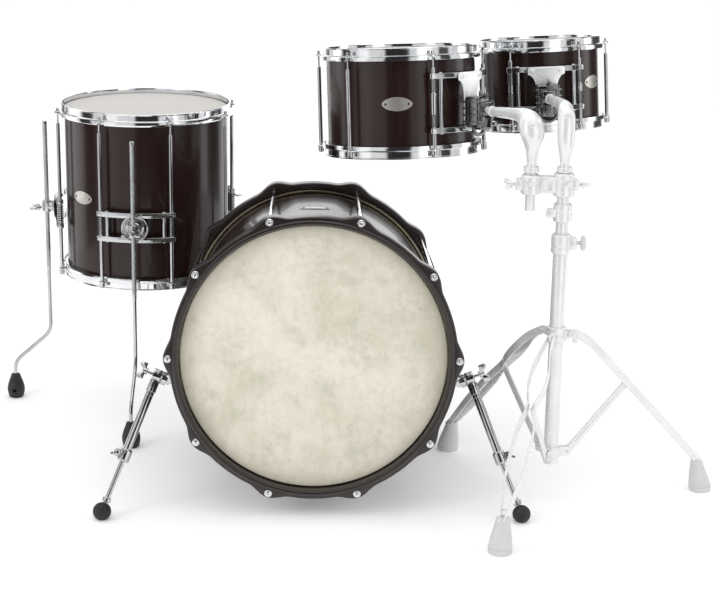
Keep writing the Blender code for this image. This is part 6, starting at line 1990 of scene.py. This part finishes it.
@dataclass(frozen=True)
class Studio:
    """Flat white floor, soft lights, a ring of screens to mirror, and the camera."""

    camera_place: Triple = (-0.06005, -3.49535, 1.3171)
    yaw: float = -1.6
    pitch: float = 15.62
    roll: float = 0.99
    focal_pixels: float = 1756.17
    picture_width: float = 716.0
    sensor: float = 36.0
    floor_size: float = 80.0
    glow: float = 0.17
    air: float = 0.92
    screen: float = 0.8
    brightest: float = 4.0
    bands: tuple[tuple[float, float, float, float], ...] = (
        (-4.0, 15.0, 6.0, 0.03), (-88.0, 6.0, 4.0, 0.04), (66.0, 6.0, 4.0, 0.05), (126.0, 12.0, 6.0, 0.08),
        (-146.0, 10.0, 6.0, 0.08), (-110.0, 7.0, 5.0, 1.5), (-56.0, 5.0, 7.0, 1.1), (36.0, 6.0, 8.0, 1.5),
        (100.0, 5.0, 4.0, 2.2), (176.0, 16.0, 26.0, 1.45), (-176.0, 16.0, 26.0, 1.45))
    stripe: Pair = (1.45, 1.8)

    def build(self) -> None:
        """Floor, lights, world and camera."""
        self.floor()
        self.lights()
        self.world()
        self.walls()
        self.camera()
        bpy.context.scene.view_settings.view_transform = "Standard"

    def floor(self) -> None:
        """Wide white paper floor."""
        BENCH.clear()
        bpy.ops.mesh.primitive_plane_add(size=self.floor_size)
        floor = bpy.context.object
        floor.name = "studio_floor"
        tree = Tree("studio_paper")
        cloud = tree.noise(tree.coordinates(), 1.3, 4.0)
        grain = tree.noise(tree.coordinates(), 190.0, 3.0)
        tree.relief(grain, 0.04, 0.0005)
        white = tree.blend(cloud, (0.9, 0.9, 0.9), (0.92, 0.92, 0.92))
        paper = tree.dress(Base_Color=white, Roughness=0.8 + grain * 0.08, Specular_IOR_Level=0.2,
                           Emission_Color=(1.0, 1.0, 1.0), Emission_Strength=self.glow)
        floor.data.materials.append(paper)
        floor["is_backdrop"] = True

    def light(self, name: str, spot: Point, aim: Point, size: Pair, power: float) -> None:
        """One rectangular soft light.

        Args:
            name: Name of the light.
            spot: Where it is.
            aim: What it points at.
            size: Its width and height.
            power: Its power in watts.
        """
        BENCH.clear()
        bpy.ops.object.light_add(type="AREA", location=spot)
        lamp = bpy.context.object
        lamp.name = name
        lamp.data.shape = "RECTANGLE"
        lamp.data.size, lamp.data.size_y = size
        lamp.data.energy = power
        lamp.rotation_euler = (Vector(aim) - Vector(spot)).to_track_quat("-Z", "Y").to_euler()

    def lights(self) -> None:
        """Soft boxes at both sides and above."""
        self.light("left_box", (-2.5, -1.7, 1.7), (0.0, 0.1, 0.45), (0.9, 2.2), 16.0)
        self.light("right_box", (2.7, -1.5, 1.6), (0.1, 0.1, 0.45), (0.7, 2.2), 8.0)
        self.light("top_box", (0.0, 0.2, 3.0), (0.0, 0.2, 0.4), (3.0, 2.4), 14.0)

    def world(self) -> None:
        """Even white room."""
        world = bpy.data.worlds.new("studio_air")
        bpy.context.scene.world = world
        world.use_nodes = True
        colour = world.node_tree.nodes["Background"].inputs["Color"]
        colour.default_value = (self.air, self.air, self.air, 1.0)

    def walls(self) -> None:
        """Ring of bright screens and dark gaps that the gloss and the chrome mirror."""
        BENCH.clear()
        bpy.ops.mesh.primitive_cylinder_add(
            vertices=128, radius=2.1, depth=2.6, end_fill_type="NOTHING", location=(0.0, 0.0, 1.3))
        ring = bpy.context.object
        ring.name = "studio_screens"
        bpy.ops.object.transform_apply(location=True)
        for kind in ("camera", "diffuse", "transmission", "volume_scatter", "shadow"):
            setattr(ring, "visible_" + kind, False)
        tree = Tree("studio_screen")
        x, y, z = tree.split(tree.coordinates())
        around = x.apply("ARCTAN2", x, 0.0 - y)
        low, high = self.stripe
        dim = z.step(low, low + 0.08) - z.step(high, high + 0.08)
        shade = self.screen - dim * self.screen * 0.85
        for middle, half, edge, level in self.bands:
            away = (around - math.radians(middle)).size()
            band = 1.0 - away.step(math.radians(half), math.radians(half + edge))
            shade = shade * (1.0 - band) + band * level
        black, bright = (0.0, 0.0, 0.0), (self.brightest, self.brightest, self.brightest)
        glow = tree.blend(shade / self.brightest, black, bright)
        tree.dress(Base_Color=black, Roughness=1.0, Specular_IOR_Level=0.0, Emission_Strength=1.0,
                   Emission_Color=glow)
        ring.data.materials.append(tree.material)
        ring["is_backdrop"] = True

    def camera(self) -> None:
        """Camera at the photograph's viewing angle."""
        yaw, pitch, roll = (math.radians(value) for value in (self.yaw, self.pitch, self.roll))
        level = Vector((math.cos(yaw), math.sin(yaw), 0.0))
        ahead = Vector((-math.sin(yaw), math.cos(yaw), 0.0))
        up = Vector((0.0, 0.0, 1.0))
        forward = ahead * math.cos(pitch) - up * math.sin(pitch)
        raised = ahead * math.sin(pitch) + up * math.cos(pitch)
        right = level * math.cos(roll) + raised * math.sin(roll)
        above = raised * math.cos(roll) - level * math.sin(roll)
        BENCH.clear()
        bpy.ops.object.camera_add(location=self.camera_place)
        camera = bpy.context.object
        view = Matrix((right, above, -forward)).transposed().to_4x4()
        camera.matrix_world = Matrix.Translation(self.camera_place) @ view
        camera.data.sensor_width = self.sensor
        camera.data.lens = self.focal_pixels * self.sensor / self.picture_width
        bpy.context.scene.camera = camera


def plain(bounds: object) -> object:
    """Bounds as plain lists."""
    if isinstance(bounds, (int, float, str)) or bounds is None:
        return bounds
    if isinstance(bounds, dict):
        return {key: plain(value) for key, value in bounds.items()}
    return [plain(value) for value in bounds]


FLOOR_TOM = SteelDrum("floor_tom", ROOT, Place((-0.423745, 0.320148, 0.3201)),
                      0.1765, 0.356, 0.1953, 8, -24.94, -46.0, 0.177)
LEFT_TOM = SteelDrum("left_tom", "left_tom", Place((0.124855, 0.066748, 0.6408), (-5.91, -2.35, 0.0)),
                     0.151, 0.195, 0.1689, 6, 19.72, -5.5, 0.097)
RIGHT_TOM = SteelDrum("right_tom", "right_tom", Place((0.437055, 0.278548, 0.6591), (-5.37, -3.45, 0.0)),
                      0.1256, 0.17, 0.1435, 6, 28.59, 55.0, 0.087)
LEFT_MOUNT = TomMount(LEFT_TOM, 0.043, 0.15, 49.72, 0.083, (0.354755, -0.239352))
RIGHT_MOUNT = TomMount(RIGHT_TOM, 0.04, 0.122, -1.41, 0.068, (0.417755, -0.239352))


def main() -> None:
    logging.basicConfig(level=logging.INFO, format="%(name)s %(message)s", stream=sys.stdout)
    start = plain(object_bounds())
    BassDrum().build()
    Spur("left", -1).build()
    Spur("right", 1).build()
    for drum in (FLOOR_TOM, LEFT_TOM, RIGHT_TOM):
        drum.build()
    for name, gap in (("front", 0), ("rear", 3), ("left", 6)):
        FloorTomLeg(name, FLOOR_TOM, FLOOR_TOM.rod_angle(0) + 45.0 * (gap + 0.5)).build()
    for mount in (LEFT_MOUNT, RIGHT_MOUNT):
        mount.build()
    TomArm("left", LEFT_MOUNT, False, 0.012, 0.052, 0.026, 0.6).build()
    TomArm("right", RIGHT_MOUNT, True, 0.03, 0.07, 0.018, 0.95).build()
    TomStand().build()
    Studio().build()
    BENCH.clear()
    plain(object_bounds())


if __name__ == "__main__":
    main()
